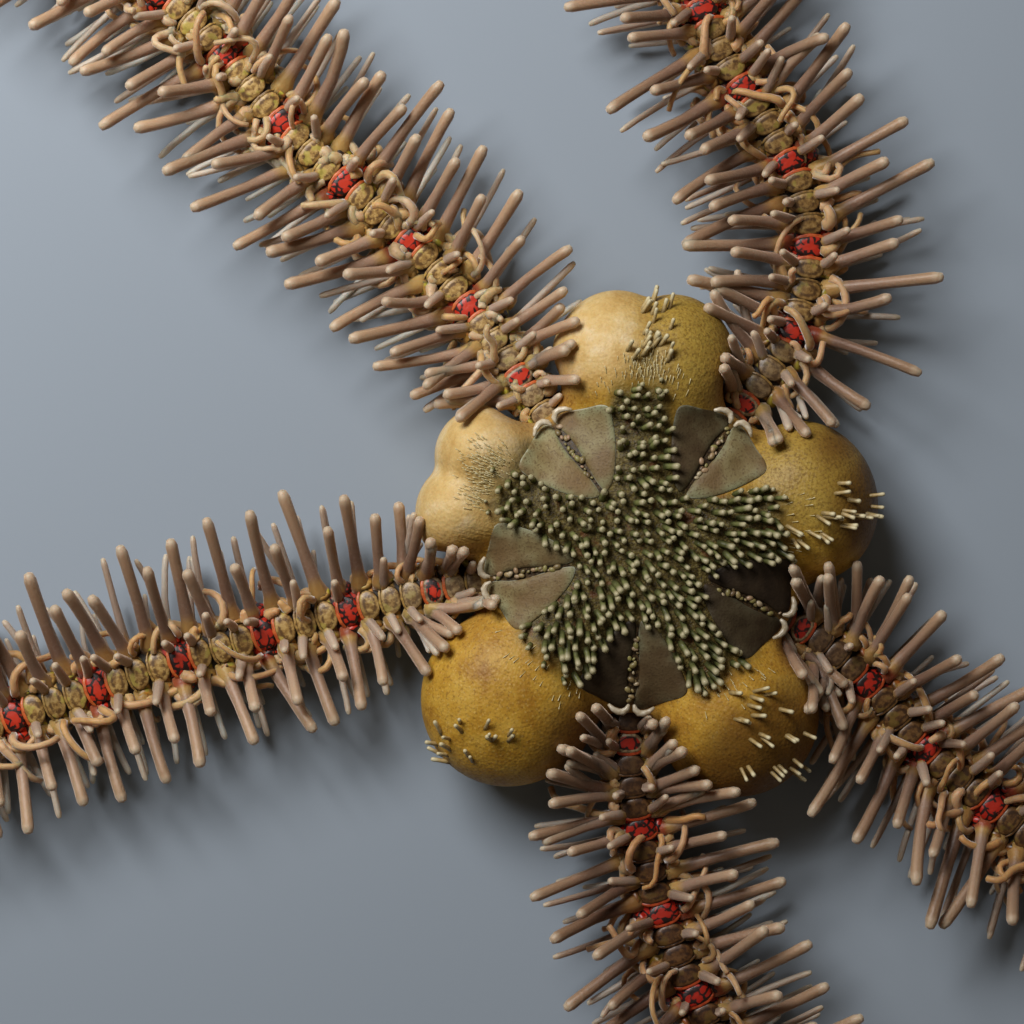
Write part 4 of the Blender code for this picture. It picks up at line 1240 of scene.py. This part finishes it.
def arm_skin_finish():
    """Flesh of the arm: dark in the joints of the back, spotted on the sides, black and red by the red plates."""
    made = Finish("arm_skin", roughness=0.55, specular=0.25)
    side = spotted_side(made)
    joint = made.mix(made.step(made.value("joint"), 0.55, 0.85), side, (0.016, 0.010, 0.006))
    top = made.mix(made.step(made.value("high"), 0.1, 0.6), side, joint)
    red_on = made.sum("MULTIPLY", made.value("red"), made.step(made.value("high"), -0.25, 0.25))
    # Painted shade darkens the flesh and the reds of the arms away from the lamp.
    colour = made.mix(red_on, made.shaded(top), made.shaded(red_net(made), RED_SHADED))
    grain = made.noise(3400.0, 3.0, 0.6)
    under = made.mix(made.step(grain, 0.4, 0.6), (0.42, 0.33, 0.22), (0.54, 0.44, 0.31))
    made.colour(made.mix(made.step(made.value("high"), -0.45, -0.85), colour, under))
    made.relief(grain, 0.00005, 0.6)
    return made.material


ARM_SKIN = arm_skin_finish()
for arm in ARMS:
    points, faces, values = arm_skin(arm)
    nodes = [f"arm_{arm}_{length}" for length in ("base", "middle", "outer", "tip")]
    new_piece(f"arm_{arm}_skin", points + [*DISC_AT, 0], faces, ARM_SKIN, values, replaces=nodes)

# %% [markdown]
# ## Back plates
#
# Down the middle of each arm's back lies a row of low round domes, one to a segment, and
# beyond each one, across a black line, a narrow crescent that bows back at its ends.
# Every fourth dome is red, veined with black, and its crescent and the one before it are
# orange. A plate is an oval drawn in rings like the shields, with its angle measured
# round the arm's section so that it hugs the back.

# %% Back plates, side plates and belly plates
PLATE_RINGS = ((0.45, 1.0), (0.78, 0.90), (0.93, 0.6), (1.0, 0.0), (0.95, -1.2))
FULLNESS = 0.88  # below 1 the ovals are fuller, towards a rounded square


def arm_plates(arm, s, number, angle, half_long, half_round, high, sides, waist=0.0, tilt=0.0, bow=0.0):
    """Low domes on an arm: each ring is an oval in distance along and angle round, with the waist's narrow root.

    The bow draws the two ends of the oval back along the arm, by the square of their distance from its middle.
    """
    size = girth(s)
    turn = 2 * np.pi * (np.arange(sides) + 0.5 * (sides % 4 != 0)) / sides
    cosine, sine = (np.sign(v) * np.abs(v) ** FULLNESS for v in (np.cos(turn), np.sin(turn)))
    narrow = 1 - waist * np.clip(-cosine, 0, 1) ** 0.8
    shares = np.array([0.0] + [share for share, _ in PLATE_RINGS] + [0.0])
    rises = np.array([PLATE_RINGS[0][1] * 1.02] + [rise for _, rise in PLATE_RINGS] + [PLATE_RINGS[-1][1]])
    share, rise = ring_rows(shares, sides), ring_rows(rises, sides)
    cosine, sine, narrow = (np.concatenate([[0], np.tile(v, len(PLATE_RINGS)), [0]]) for v in (cosine, sine, narrow))
    scale = np.interp(s, PITCH_AT, PITCH) / SEGMENT
    distance = s[:, None] + scale[:, None] * (half_long[:, None] * share * cosine - bow * (share * sine) ** 2)
    around = angle[:, None] + half_round * share * sine * narrow
    lifted = size[:, None] * high * (rise + tilt * share * cosine)
    points, _ = on_arm(arm, distance, around, lifted)
    count, one_row = len(share), len(s) == len(SEGMENTS[arm][0])
    values = {
        "out": np.tile(share, len(s)),
        "fore": np.tile(share * cosine, len(s)),
        "red": np.repeat((number % REDS_EVERY == 0) & ((number > 0) | one_row), count).astype(float),
        "first": np.repeat(number == 0, count).astype(float),
        "near": np.repeat(smooth_step((4.5 - s) / 3.0), count),
        # Painted shade: one value per arm that darkens the plates of the arms away from the lamp, partly their own
        # darker colour.
        "painted_light_and_tint": np.full(len(s) * count, ARMS[arm]["painted_light_and_tint"]),
        "warm": np.repeat((number % REDS_EVERY == 0) | (number % REDS_EVERY == REDS_EVERY - 1), count).astype(float),
    }
    azimuth = angle / (2 * np.pi) % 1
    patches = patch_of(s / ARM_LENGTH, azimuth + 0 * s, count)
    return points.reshape(-1, 3), spindle_faces(len(s), len(PLATE_RINGS), sides), values, patches


def ring_rows(levels, sides):
    """One value for the first pole, the same value round each ring, and one for the last pole."""
    return np.concatenate([levels[:1], np.repeat(levels[1:-1], sides), levels[-1:]])


def back_plate_finish():
    """Mottled tan with a broken brown ring and a brown rim; red domes are veined with black."""
    made = Finish("back_plates", roughness=0.42, coat=0.12)
    mottle = made.noise(5200.0, 3.0, 0.65)
    tan = made.ramp(mottle, (0.36, (0.20, 0.100, 0.024)), (0.50, (0.43, 0.255, 0.072)), (0.64, (0.60, 0.40, 0.140)))
    ring = made.sum("MULTIPLY", made.step(made.value("out"), 0.30, 0.45), made.step(made.value("out"), 0.70, 0.55))
    tan = made.mix(made.sum("MULTIPLY", ring, made.step(mottle, 0.64, 0.44)), tan, (0.14, 0.070, 0.020))
    tan = made.mix(made.step(made.noise(2600.0, 1.0), 0.58, 0.66, 0.0, 0.6), tan, (0.50, 0.42, 0.07))
    dull = made.mix(made.step(mottle, 0.36, 0.62), (0.16, 0.10, 0.050), (0.40, 0.30, 0.17))
    tan = made.mix(made.sum("MULTIPLY", made.value("near"), 0.7), tan, dull)
    # Painted shade darkens the reds and the tan on the arms away from the lamp.
    red = made.shaded(red_net(made), RED_SHADED)
    tan = made.shaded(tan)
    uneven = made.sum("ADD", made.value("out"), made.sum("MULTIPLY", made.noise(2600.0, 1.0), 0.9))
    red = made.mix(made.step(uneven, 0.84, 0.70), red, made.shaded((0.60, 0.038, 0.012), RED_SHADED))
    small = made.sum("MULTIPLY", made.value("first"), made.step(made.value("out"), 0.62, 0.76))
    colour = made.mix(made.value("red"), tan, made.mix(small, red, dull))
    rim = made.sum("MULTIPLY", made.step(made.value("out"), 0.84, 0.97), made.step(made.value("red"), 0.9, 0.1))
    made.colour(made.mix(rim, colour, (0.028, 0.016, 0.008)))
    made.relief(mottle, 0.00003, 0.6)
    return made.material


def crescent_finish():
    """Mottled tan crescents, and orange ones by the red domes, with a dark edge."""
    made = Finish("crescents", roughness=0.42, coat=0.12)
    mottle = made.noise(5200.0, 3.0, 0.65)
    pale = made.ramp(mottle, (0.36, (0.18, 0.090, 0.022)), (0.52, (0.42, 0.25, 0.070)), (0.64, (0.56, 0.36, 0.08)))
    orange = made.mix(made.step(mottle, 0.38, 0.55), (0.46, 0.080, 0.016), (0.64, 0.150, 0.032))
    # Painted shade darkens the crescents on the arms away from the lamp.
    colour = made.mix(made.value("warm"), made.shaded(pale), made.shaded(orange, RED_SHADED))
    made.colour(made.mix(made.step(made.value("out"), 0.86, 0.98), colour, (0.06, 0.028, 0.010)))
    made.relief(mottle, 0.00003, 0.6)
    return made.material


def side_plate_finish():
    """The side plates carry the spines: spotted as the flesh is, or red and black."""
    made = Finish("side_plates", roughness=0.4, coat=0.2)
    olive = made.mix(made.step(made.value("out"), 0.8, 1.0, 0.0, 0.7), spotted_side(made), (0.05, 0.03, 0.015))
    red = made.shaded(red_net(made), RED_SHADED)
    # Painted shade darkens the side plates on the arms away from the lamp.
    made.colour(made.mix(made.value("red"), made.shaded(olive, (0.42, 0.26, 0.20)), red))
    made.relief(made.noise(4300.0, 3.0, 0.6), 0.00004, 0.5)
    return made.material


def belly_plate_finish():
    made = Finish("belly_plates", roughness=0.45, coat=0.1)
    grain = made.noise(5000.0, 3.0)
    made.colour(made.ramp(grain, (0.35, (0.40, 0.30, 0.18)), (0.65, (0.60, 0.50, 0.36))))
    made.relief(grain, 0.00003, 0.5)
    return made.material


PLATES = {  # angle round from the left side in degrees, half length, half angle in degrees, height, sides, waist, tilt
    "back": dict(angles=(90,), half_long=0.36, half_round=30, high=0.09, sides=16, waist=0.22, tilt=0.3, ahead=-0.04),
    "crescent": dict(angles=(90,), half_long=0.055, half_round=35, high=0.065, sides=12, bow=0.20, ahead=0.345, warm_more=0.55),
    "side": dict(angles=(34, 146), half_long=0.36, half_round=28, high=0.15, sides=12, waist=0.1, tilt=0.3),
    "belly": dict(angles=(270,), half_long=0.33, half_round=40, high=0.05, sides=8, waist=0.2, tilt=0.1),
}
FINISHES = {
    "back": back_plate_finish(),
    "crescent": crescent_finish(),
    "side": side_plate_finish(),
    "belly": belly_plate_finish(),
}
for arm in ARMS:
    middles, numbers = SEGMENTS[arm]
    for kind, plate in PLATES.items():
        s = np.tile(middles, len(plate["angles"])) + plate.get("ahead", 0.0)
        n = np.tile(numbers, len(plate["angles"]))
        angle = np.repeat(np.radians(plate["angles"]), len(middles))
        warm = np.isin(n % REDS_EVERY, (0, REDS_EVERY - 1))
        half_long = plate["half_long"] * (1 + plate.get("warm_more", 0.0) * warm)
        points, faces, values, patches = arm_plates(
            arm, s, n, angle, half_long, math.radians(plate["half_round"]),
            plate["high"], plate["sides"], plate.get("waist", 0.0), plate.get("tilt", 0.0), plate.get("bow", 0.0),
        )
        new_piece(f"arm_{arm}_{kind}_plates", points + [*DISC_AT, 0], faces, FINISHES[kind], values, patches)

# %% [markdown]
# ## Spines
#
# Each segment carries a fan of blunt spines on either side. A long thick one stands on
# every second or third segment, a shorter thick one on those between, and thin ones and
# glassy ones stand below them, so the comb looks open from above. Beside the disc the
# fans are short and full, and lean back over it or lie along the arm. An arm has several
# hundred, so they are worked out as whole arrays: a root on the section, a direction from
# a rise and a lean, and a spindle of seven rings with a fleshy foot and a blunt end.

# %% Spines
SPINE_ROWS = (  # angle of the root, rise above level, length, radius, paleness, share on long segments, share on the others
    (66, 66, 1.50, 0.165, 0.30, 0.25, 0.80),
    (38, 25, 4.00, 0.222, 0.00, 1.00, 0.00),
    (47, 39, 2.95, 0.214, 0.05, 0.00, 1.00),
    (17, 13, 3.15, 0.125, 0.50, 0.00, 0.85),
    (-3, 4, 2.75, 0.125, 0.95, 0.90, 0.45),
    (-22, 2, 1.75, 0.100, 1.00, 0.85, 0.70),
)
SPINE_SHARES = np.array([-0.04, 0.05, 0.15, 0.46, 0.80, 0.93, 0.985])
SPINE_LONG = np.array([1.70, 1.62, 1.12, 0.92, 0.96, 1.00, 0.72])
SPINE_THIN = np.array([1.50, 1.40, 1.10, 1.00, 0.95, 0.92, 0.62])
SPINE_SHORT = np.array([1.10, 1.14, 1.10, 1.04, 0.94, 0.84, 0.55])
SPINE_SIDES = 7
FLOOR_ROOM = 1.02


def spine_table(arm, draw):
    """Every spine of an arm as arrays: distance, side, row and number of its segment."""
    middles, numbers = SEGMENTS[arm]
    keep = middles > -0.5
    middles, numbers = middles[keep], numbers[keep]
    rows = np.arange(len(SPINE_ROWS))
    s, side, row = (v.ravel() for v in np.meshgrid(middles, (-1, 1), rows, indexing="ij"))
    number = np.repeat(numbers, 2 * len(rows))
    return s, side, row.astype(int), number


def aim(forward, outward, rise, lean):
    """A direction that rises above level and leans along the arm, both in radians."""
    level = outward * np.cos(lean)[:, None] + forward * np.sin(lean)[:, None]
    made = level * np.cos(rise)[:, None]
    made[:, 2] += np.sin(rise)
    return made


def spines(arm, draw):
    """Roots, directions and sizes of an arm's spines, each raised until it clears the skin of the disc."""
    s, side, row, number = spine_table(arm, draw)
    angle, rise, length, radius, pale, on_long, on_short = (np.array(column, float)[row] for column in zip(*SPINE_ROWS))
    near = smooth_step((s - 0.8) / 4.2)
    comb = ARMS[arm]["comb"]
    count = number + 40 + (side > 0)
    long_here = np.floor((count + 1) / comb) > np.floor(count / comb)
    grown = np.where(long_here, on_long, on_short)
    grown = grown + (np.where(row < 4, 0.85, 0.5) - grown) * (1 - near)
    length = length * np.where(row == 1, 0.74 + 0.26 * near, np.where(row == 2, 1.0, 0.85 + 0.15 * near))
    length = length * np.array(ARMS[arm].get("spine_lengths", (1, 1)))[(side < 0).astype(int)]
    length = length * girth(s) ** 0.75 * draw.uniform(0.90, 1.08, len(s))
    radius = radius * girth(s) ** 0.6 * draw.uniform(0.92, 1.06, len(s)) * np.where(row == 3, 1 + 0.5 * (1 - near), 1)
    sweep = np.array(ARMS[arm]["sweeps"], float)[(side < 0).astype(int)]
    mean = sweep[:, 0] + (sweep[:, 1] - sweep[:, 0]) * smooth_step(s / 4.5)
    mean = mean + (10 - mean) * smooth_step((s - 8.0) / 14.0)
    fan = np.repeat(draw.normal(0, 4, len(s) // len(SPINE_ROWS)), len(SPINE_ROWS))
    loose = draw.normal(0, 1, len(s)) * np.where(row == 0, 15, 3 + 11 * (1 - near))
    lean = np.radians(mean + fan + loose)
    rise = np.radians(rise * (0.6 + 0.4 * near) + draw.normal(0, 1, len(s)) * np.where(row == 0, 12, 4))
    root_s = s + 0.14 + draw.normal(0, 0.03, len(s))
    theta = np.radians(angle)
    theta = np.where(side > 0, theta, np.pi - theta)
    root, _ = on_arm(arm, root_s, theta, -0.08)
    _, forward, left = line_of(arm, root_s)
    outward = left * side[:, None]
    bend = draw.normal(0, 0.07, (len(s), 3)) * [1, 1, 0.6]
    shares = SPINE_SHARES[None, :, None]
    chosen = draw.uniform(0, 1, len(s)) > grown
    kept = ~chosen
    middles = np.zeros((len(s), len(SPINE_SHARES), 3))
    for more in (0, 8, 16, 24, 32, 40, 48, 56):
        direction = aim(forward, outward, np.minimum(rise + math.radians(more), 1.4), lean)
        path = root[:, None] + length[:, None, None] * (direction[:, None] * shares + bend[:, None] * shares**2)
        clear = (skin_field(path[:, 3:]) > (radius * 0.6)[:, None]).all(1) | (s > 6.0)
        clear &= (path[:, 1:, 2] > (radius * FLOOR_ROOM)[:, None]).all(1)
        fresh = clear & ~chosen
        middles[fresh] = path[fresh]
        chosen |= fresh
    kept &= chosen
    # The arm's spine tone for each side holds painted shade on the arms away from the lamp as well as the spines' own
    # colour.
    tone = np.array(ARMS[arm]["spine_tints_and_shade"])[(side < 0).astype(int)] + draw.uniform(-0.2, 0.2, len(s))
    return [v[kept] for v in (middles, radius, row, pale, number, s, theta, np.clip(tone, 0, 1))]


def spine_finish():
    """A blunt glassy spine: tan flesh at its root, a rosy brown-grey shaft with pale specks and a paler end."""
    made = Finish("spine_glass", roughness=0.45, specular=0.35, coat=0.08, subsurface=0.6)
    made.shader.inputs["Subsurface Radius"].default_value = (1.0, 0.65, 0.5)
    made.shader.inputs["Subsurface Scale"].default_value = 0.0005
    made.shader.inputs["Sheen Weight"].default_value = 0.8
    made.shader.inputs["Sheen Roughness"].default_value = 0.35
    made.shader.inputs["Sheen Tint"].default_value = (0.92, 0.70, 0.54, 1.0)
    along = made.value("along")
    # The tone runs a spine from dark red-brown to pale: partly its own colour, partly painted shade.
    tone = made.value("tone")
    grain = made.noise(9000.0, 2.0)
    dusky = made.mix(tone, (0.062, 0.020, 0.010), (0.43, 0.275, 0.185))
    dusky = made.mix(made.step(grain, 0.54, 0.72, 0.0, 0.5), dusky, made.mix(tone, (0.12, 0.065, 0.045), (0.50, 0.38, 0.29)))
    end = made.mix(tone, (0.28, 0.170, 0.098), (0.54, 0.37, 0.225))
    dusky = made.mix(made.step(along, 0.25, 1.0, 0.0, 0.8), dusky, end)
    pale = made.mix(tone, (0.26, 0.18, 0.13), (0.76, 0.71, 0.62))
    shaft = made.mix(made.value("pale"), dusky, pale)
    root = made.mix(tone, (0.22, 0.095, 0.024), (0.54, 0.345, 0.115))
    shaft = made.mix(made.step(along, 0.24, 0.10), shaft, root)
    crimson = made.sum("MULTIPLY", made.value("red"), made.step(along, 0.12, 0.05, 0.0, 0.8))
    shaft = made.mix(crimson, shaft, (0.26, 0.02, 0.010))
    made.colour(made.mix(made.step(along, 0.88, 0.98, 0.0, 0.7), shaft, (0.58, 0.47, 0.34)))
    made.relief(grain, 0.00003, 0.8)
    return made.material


SPINE_FINISH = spine_finish()
for index, arm in enumerate(ARMS):
    draw = np.random.default_rng(SEED + 10 + index)
    middles, radius, row, pale, number, s, theta, tone = spines(arm, draw)
    profile = np.where((row == 0)[:, None], SPINE_SHORT, np.where((row > 2)[:, None], SPINE_THIN, SPINE_LONG))
    points, faces = tubes(middles, radius[:, None] * profile, SPINE_SIDES)
    count = points.shape[1]
    values = {
        "along": np.tile(ring_values(np.clip(SPINE_SHARES, 0, 1), SPINE_SIDES), len(s)),
        "tone": np.repeat(tone, count),
        "pale": np.repeat(pale, count),
        "red": np.repeat((number % REDS_EVERY == 0) * (number > 0) * 1.0, count),
    }
    patches = patch_of(s / ARM_LENGTH, theta / (2 * np.pi) % 1, count)
    new_piece(f"arm_{arm}_spines", points + [*DISC_AT, 0], faces, SPINE_FINISH, values, patches)

# %% [markdown]
# ## Tube feet
#
# Between the spines thin soft feet curl up from the arm's sides, and at the roots of the
# spines others are drawn in to small fleshy lumps. A foot is a spindle whose path turns
# steadily in one plane, so the place at each ring is a sum of turned steps.

# %% Tube feet
FOOT_RINGS = 9
FOOT_SIDES = 6
FEET_OF_A_SIDE = (False, False, True)  # whether each is drawn in to a lump


def feet(arm, draw):
    """Curled paths: the direction turns from a first aim towards a second one by a steady angle."""
    middles, numbers = SEGMENTS[arm]
    middles = middles[middles > -0.2]
    kinds = ARMS[arm].get("feet", FEET_OF_A_SIDE)
    each = len(kinds)
    s = np.repeat(middles, 2 * each) + draw.uniform(-0.35, 0.25, len(middles) * 2 * each)
    side = np.tile(np.repeat((-1, 1), each), len(middles))
    drawn_in = np.tile(kinds, 2 * len(middles))
    theta = np.radians(draw.uniform(2, ARMS[arm]["feet_up_to"], len(s)))
    theta = np.where(side > 0, theta, np.pi - theta)
    root, out = on_arm(arm, s, theta, -0.06)
    _, forward, left = line_of(arm, s)
    rise = np.radians(np.where(drawn_in, draw.uniform(10, 60, len(s)), draw.uniform(10, 70, len(s))))
    first = aim(forward, left * side[:, None], rise, np.radians(draw.uniform(-60, 60, len(s))))
    over = np.array([0.0, 0.0, 1.0]) + draw.normal(0, 0.30, (len(s), 3))
    other = unit(np.cross(first, over)) * draw.choice([-1.0, 1.0], len(s))[:, None]
    long = draw.uniform(1.3, 3.0, len(s)) * smooth_step(0.35 + s / 5)
    length = np.where(drawn_in, draw.uniform(0.35, 1.0, len(s)), long) * girth(s)
    curl = draw.uniform(0.8, 3.6, len(s))
    share = np.linspace(0, 1, FOOT_RINGS)
    turn = curl[:, None] * share - 0.8 * np.sin(2 * np.pi * share) * draw.uniform(-1, 1, len(s))[:, None]
    steps = first[:, None] * np.cos(turn)[..., None] + other[:, None] * np.sin(turn)[..., None]
    path = root[:, None] + np.cumsum(steps, 1) * (length / FOOT_RINGS)[:, None, None]
    path[..., 2] -= 0.22 * (length[:, None] * share**2) * ~drawn_in[:, None]
    thick = np.where(drawn_in, draw.uniform(0.14, 0.24, len(s)), draw.uniform(0.095, 0.145, len(s))) * girth(s) ** 0.5
    slim = 1.2 - 0.35 * share + 0.1 * smooth_step((share - 0.85) / 0.15)
    taper = np.where(drawn_in[:, None], 1.15 - 0.5 * share, slim)
    clear = (path[..., 2] > thick[:, None] * 1.3).all(1)
    clear &= (skin_field(path) > 0.02).all(1) | (s > 6)
    clear &= draw.uniform(0, 1, len(s)) < np.where(drawn_in, 0.85, 0.75)
    return path[clear], (thick[:, None] * taper)[clear], drawn_in[clear], s[clear], theta[clear]


def foot_finish():
    """Soft tan flesh, more orange or more olive from one to the next, with fine rings of relief."""
    made = Finish("foot_flesh", roughness=0.5, specular=0.35, coat=0.05, subsurface=0.6)
    made.shader.inputs["Sheen Weight"].default_value = 0.6
    made.shader.inputs["Sheen Roughness"].default_value = 0.35
    grain = made.noise(6000.0, 2.0)
    flesh = made.ramp(
        made.value("tone"),
        (0.0, (0.56, 0.36, 0.185)), (0.35, (0.66, 0.50, 0.33)), (0.65, (0.54, 0.40, 0.20)), (1.0, (0.62, 0.37, 0.15)),
    )
    amber = made.mix(made.value("tone"), (0.62, 0.28, 0.065), (0.56, 0.33, 0.13))
    flesh = made.mix(made.value("amber"), flesh, amber)
    flesh = made.mix(made.step(grain, 0.5, 0.68, 0.0, 0.35), flesh, (0.30, 0.17, 0.06))
    # Painted shade darkens the feet a little on the arms away from the lamp.
    made.colour(made.shaded(flesh, (0.80, 0.70, 0.62)))
    made.relief(grain, 0.00002, 0.4)
    return made.material


FOOT_FINISH = foot_finish()
for index, arm in enumerate(ARMS):
    draw = np.random.default_rng(SEED + 30 + index)
    path, thick, drawn_in, s, theta = feet(arm, draw)
    points, faces = tubes(path, thick, FOOT_SIDES)
    values = {"tone": np.repeat(draw.uniform(0, 1, len(s)), points.shape[1])}
    # The feet take the arm's painted shade value and its amber.
    for key in ("painted_light_and_tint", "amber"):
        values[key] = np.full(len(s) * points.shape[1], ARMS[arm][key])
    patches = patch_of(s / ARM_LENGTH, theta / (2 * np.pi) % 1, points.shape[1])
    new_piece(f"arm_{arm}_feet", points + [*DISC_AT, 0], faces, FOOT_FINISH, values, patches)

# %% [markdown]
# ## Mouth
#
# Under the disc five jaws point at the middle between the arms, each behind an oval shield.
# On the animal a jaw is a wedge with a row of blunt teeth; here it is a round spindle
# that grows thicker outwards.

# %% Jaws and mouth shields
JAW_LINE = ((0.5, 0.95), (0.9, 1.0), (1.4, 1.05), (1.9, 1.1), (2.3, 1.15))  # distance out and height
JAW_RADII = (0.18, 0.32, 0.46, 0.58, 0.50)


def jaw_finish():
    made = Finish("jaw_bone", roughness=0.45, coat=0.15)
    grain = made.noise(4000.0, 3.0)
    made.colour(made.ramp(grain, (0.35, (0.46, 0.36, 0.24)), (0.65, (0.68, 0.58, 0.43))))
    made.relief(grain, 0.00003, 0.5)
    return made.material


def jaw_paths():
    out, high = np.array(JAW_LINE).T
    paths = []
    for name in LOBES:
        px, py = from_line(out, 0 * out, lobe_line(name))
        paths.append(np.stack([px, py, high], -1))
    return np.array(paths)


points, faces = tubes(jaw_paths(), np.tile(JAW_RADII, (len(LOBES), 1)), 20)
new_piece("jaws", points + [*DISC_AT, 0], faces, jaw_finish(), replaces=["jaw_" + name for name in LOBES])


def mouth_shields():
    """Oval plates that face down behind each jaw."""
    flat = np.array([from_line(3.3, 0.0, lobe_line(name)) for name in LOBES])
    places = np.column_stack([flat, np.full(len(LOBES), 0.62)])
    outs = np.tile([0.0, 0.0, -1.0], (len(LOBES), 1))
    turn = np.radians([lobe_line(name) for name in LOBES])
    alongs = np.stack([np.cos(turn), np.sin(turn), 0 * turn], -1)
    size = np.ones(len(LOBES))
    return lids(places, outs, alongs, size * 0.55, size * 0.8, size * 0.12, 28)


points, faces, out = mouth_shields()
new_piece("mouth_shields", points + [*DISC_AT, 0], faces, jaw_finish())

# %% [markdown]
# ## Floor, light and camera
#
# The animal lies on a plain pale floor. A broad soft lamp stands to the upper left of
# the picture, so that the lower right falls into shade, and the camera looks straight
# down from a little left of the disc, close enough that the arms run out of the frame.

# %% Floor
FLOOR_HALF = 1.5


def floor_finish():
    made = Finish("floor_pale", roughness=0.6, specular=0.3)
    made.shader.inputs["Base Color"].default_value = (0.31, 0.36, 0.42, 1.0)
    return made.material


def make_floor():
    corners = [(-FLOOR_HALF, -FLOOR_HALF, 0), (FLOOR_HALF, -FLOOR_HALF, 0), (FLOOR_HALF, FLOOR_HALF, 0), (-FLOOR_HALF, FLOOR_HALF, 0)]
    mesh = bpy.data.meshes.new("floor")
    mesh.from_pydata(corners, [], [(0, 1, 2, 3)])
    mesh.materials.append(floor_finish())
    floor = bpy.data.objects.new("floor", mesh)
    bpy.context.scene.collection.objects.link(floor)
    return floor


make_floor()

# %% Lamps and the air's own light
LAMPS = {  # place, what it faces, size, watts and colour, in metres
    "lamp_main": dict(at=(-0.070, 0.090, 0.100), to=(-0.065, 0.084, 0.0), size=0.080, watts=0.295, colour=(0.99, 0.98, 0.97)),
    "lamp_fill": dict(at=(0.16, -0.10, 0.30), to=(0.001, 0.004, 0.0), size=0.35, watts=0.03, colour=(1.0, 0.84, 0.66)),
}


def make_lamp(name, at, to, size, watts, colour):
    """A square lamp that faces a place on the floor."""
    light = bpy.data.lights.new(name, "AREA")
    light.size = size
    light.energy = watts
    light.color = colour
    lamp = bpy.data.objects.new(name, light)
    lamp.location = at
    aim_at = np.array(to) - np.array(at)
    yaw = math.atan2(aim_at[1], aim_at[0])
    pitch = math.atan2(math.hypot(aim_at[0], aim_at[1]), -aim_at[2])
    lamp.rotation_euler = (pitch, 0.0, yaw - math.pi / 2)
    bpy.context.scene.collection.objects.link(lamp)


for name, sizes in LAMPS.items():
    make_lamp(name, **sizes)

world = bpy.data.worlds.new("air")
world.use_nodes = True
world.node_tree.nodes["Background"].inputs["Color"].default_value = (1.0, 0.84, 0.64, 1.0)
world.node_tree.nodes["Background"].inputs["Strength"].default_value = 0.044
bpy.context.scene.world = world
bpy.context.scene.view_settings.view_transform = "Standard"

# %% Camera
CAMERA_HEIGHT = 0.115
CAMERA_FROM_DISC = np.array([-4.43, 1.31])  # in millimetres
FRAME_WIDE = 0.0354  # metres of the animal across the picture, 2 mm above the floor
ANIMAL_HIGH = 0.002
camera_data = bpy.data.cameras.new("camera")
camera_data.sensor_width = 36.0
camera_data.lens = camera_data.sensor_width * (CAMERA_HEIGHT - ANIMAL_HIGH) / FRAME_WIDE
camera_data.clip_start = 0.001
camera = bpy.data.objects.new("camera", camera_data)
camera.location = (*((DISC_AT + CAMERA_FROM_DISC) * MM), CAMERA_HEIGHT)
bpy.context.scene.collection.objects.link(camera)
bpy.context.scene.camera = camera
print("lens", round(camera_data.lens, 1), "mm")
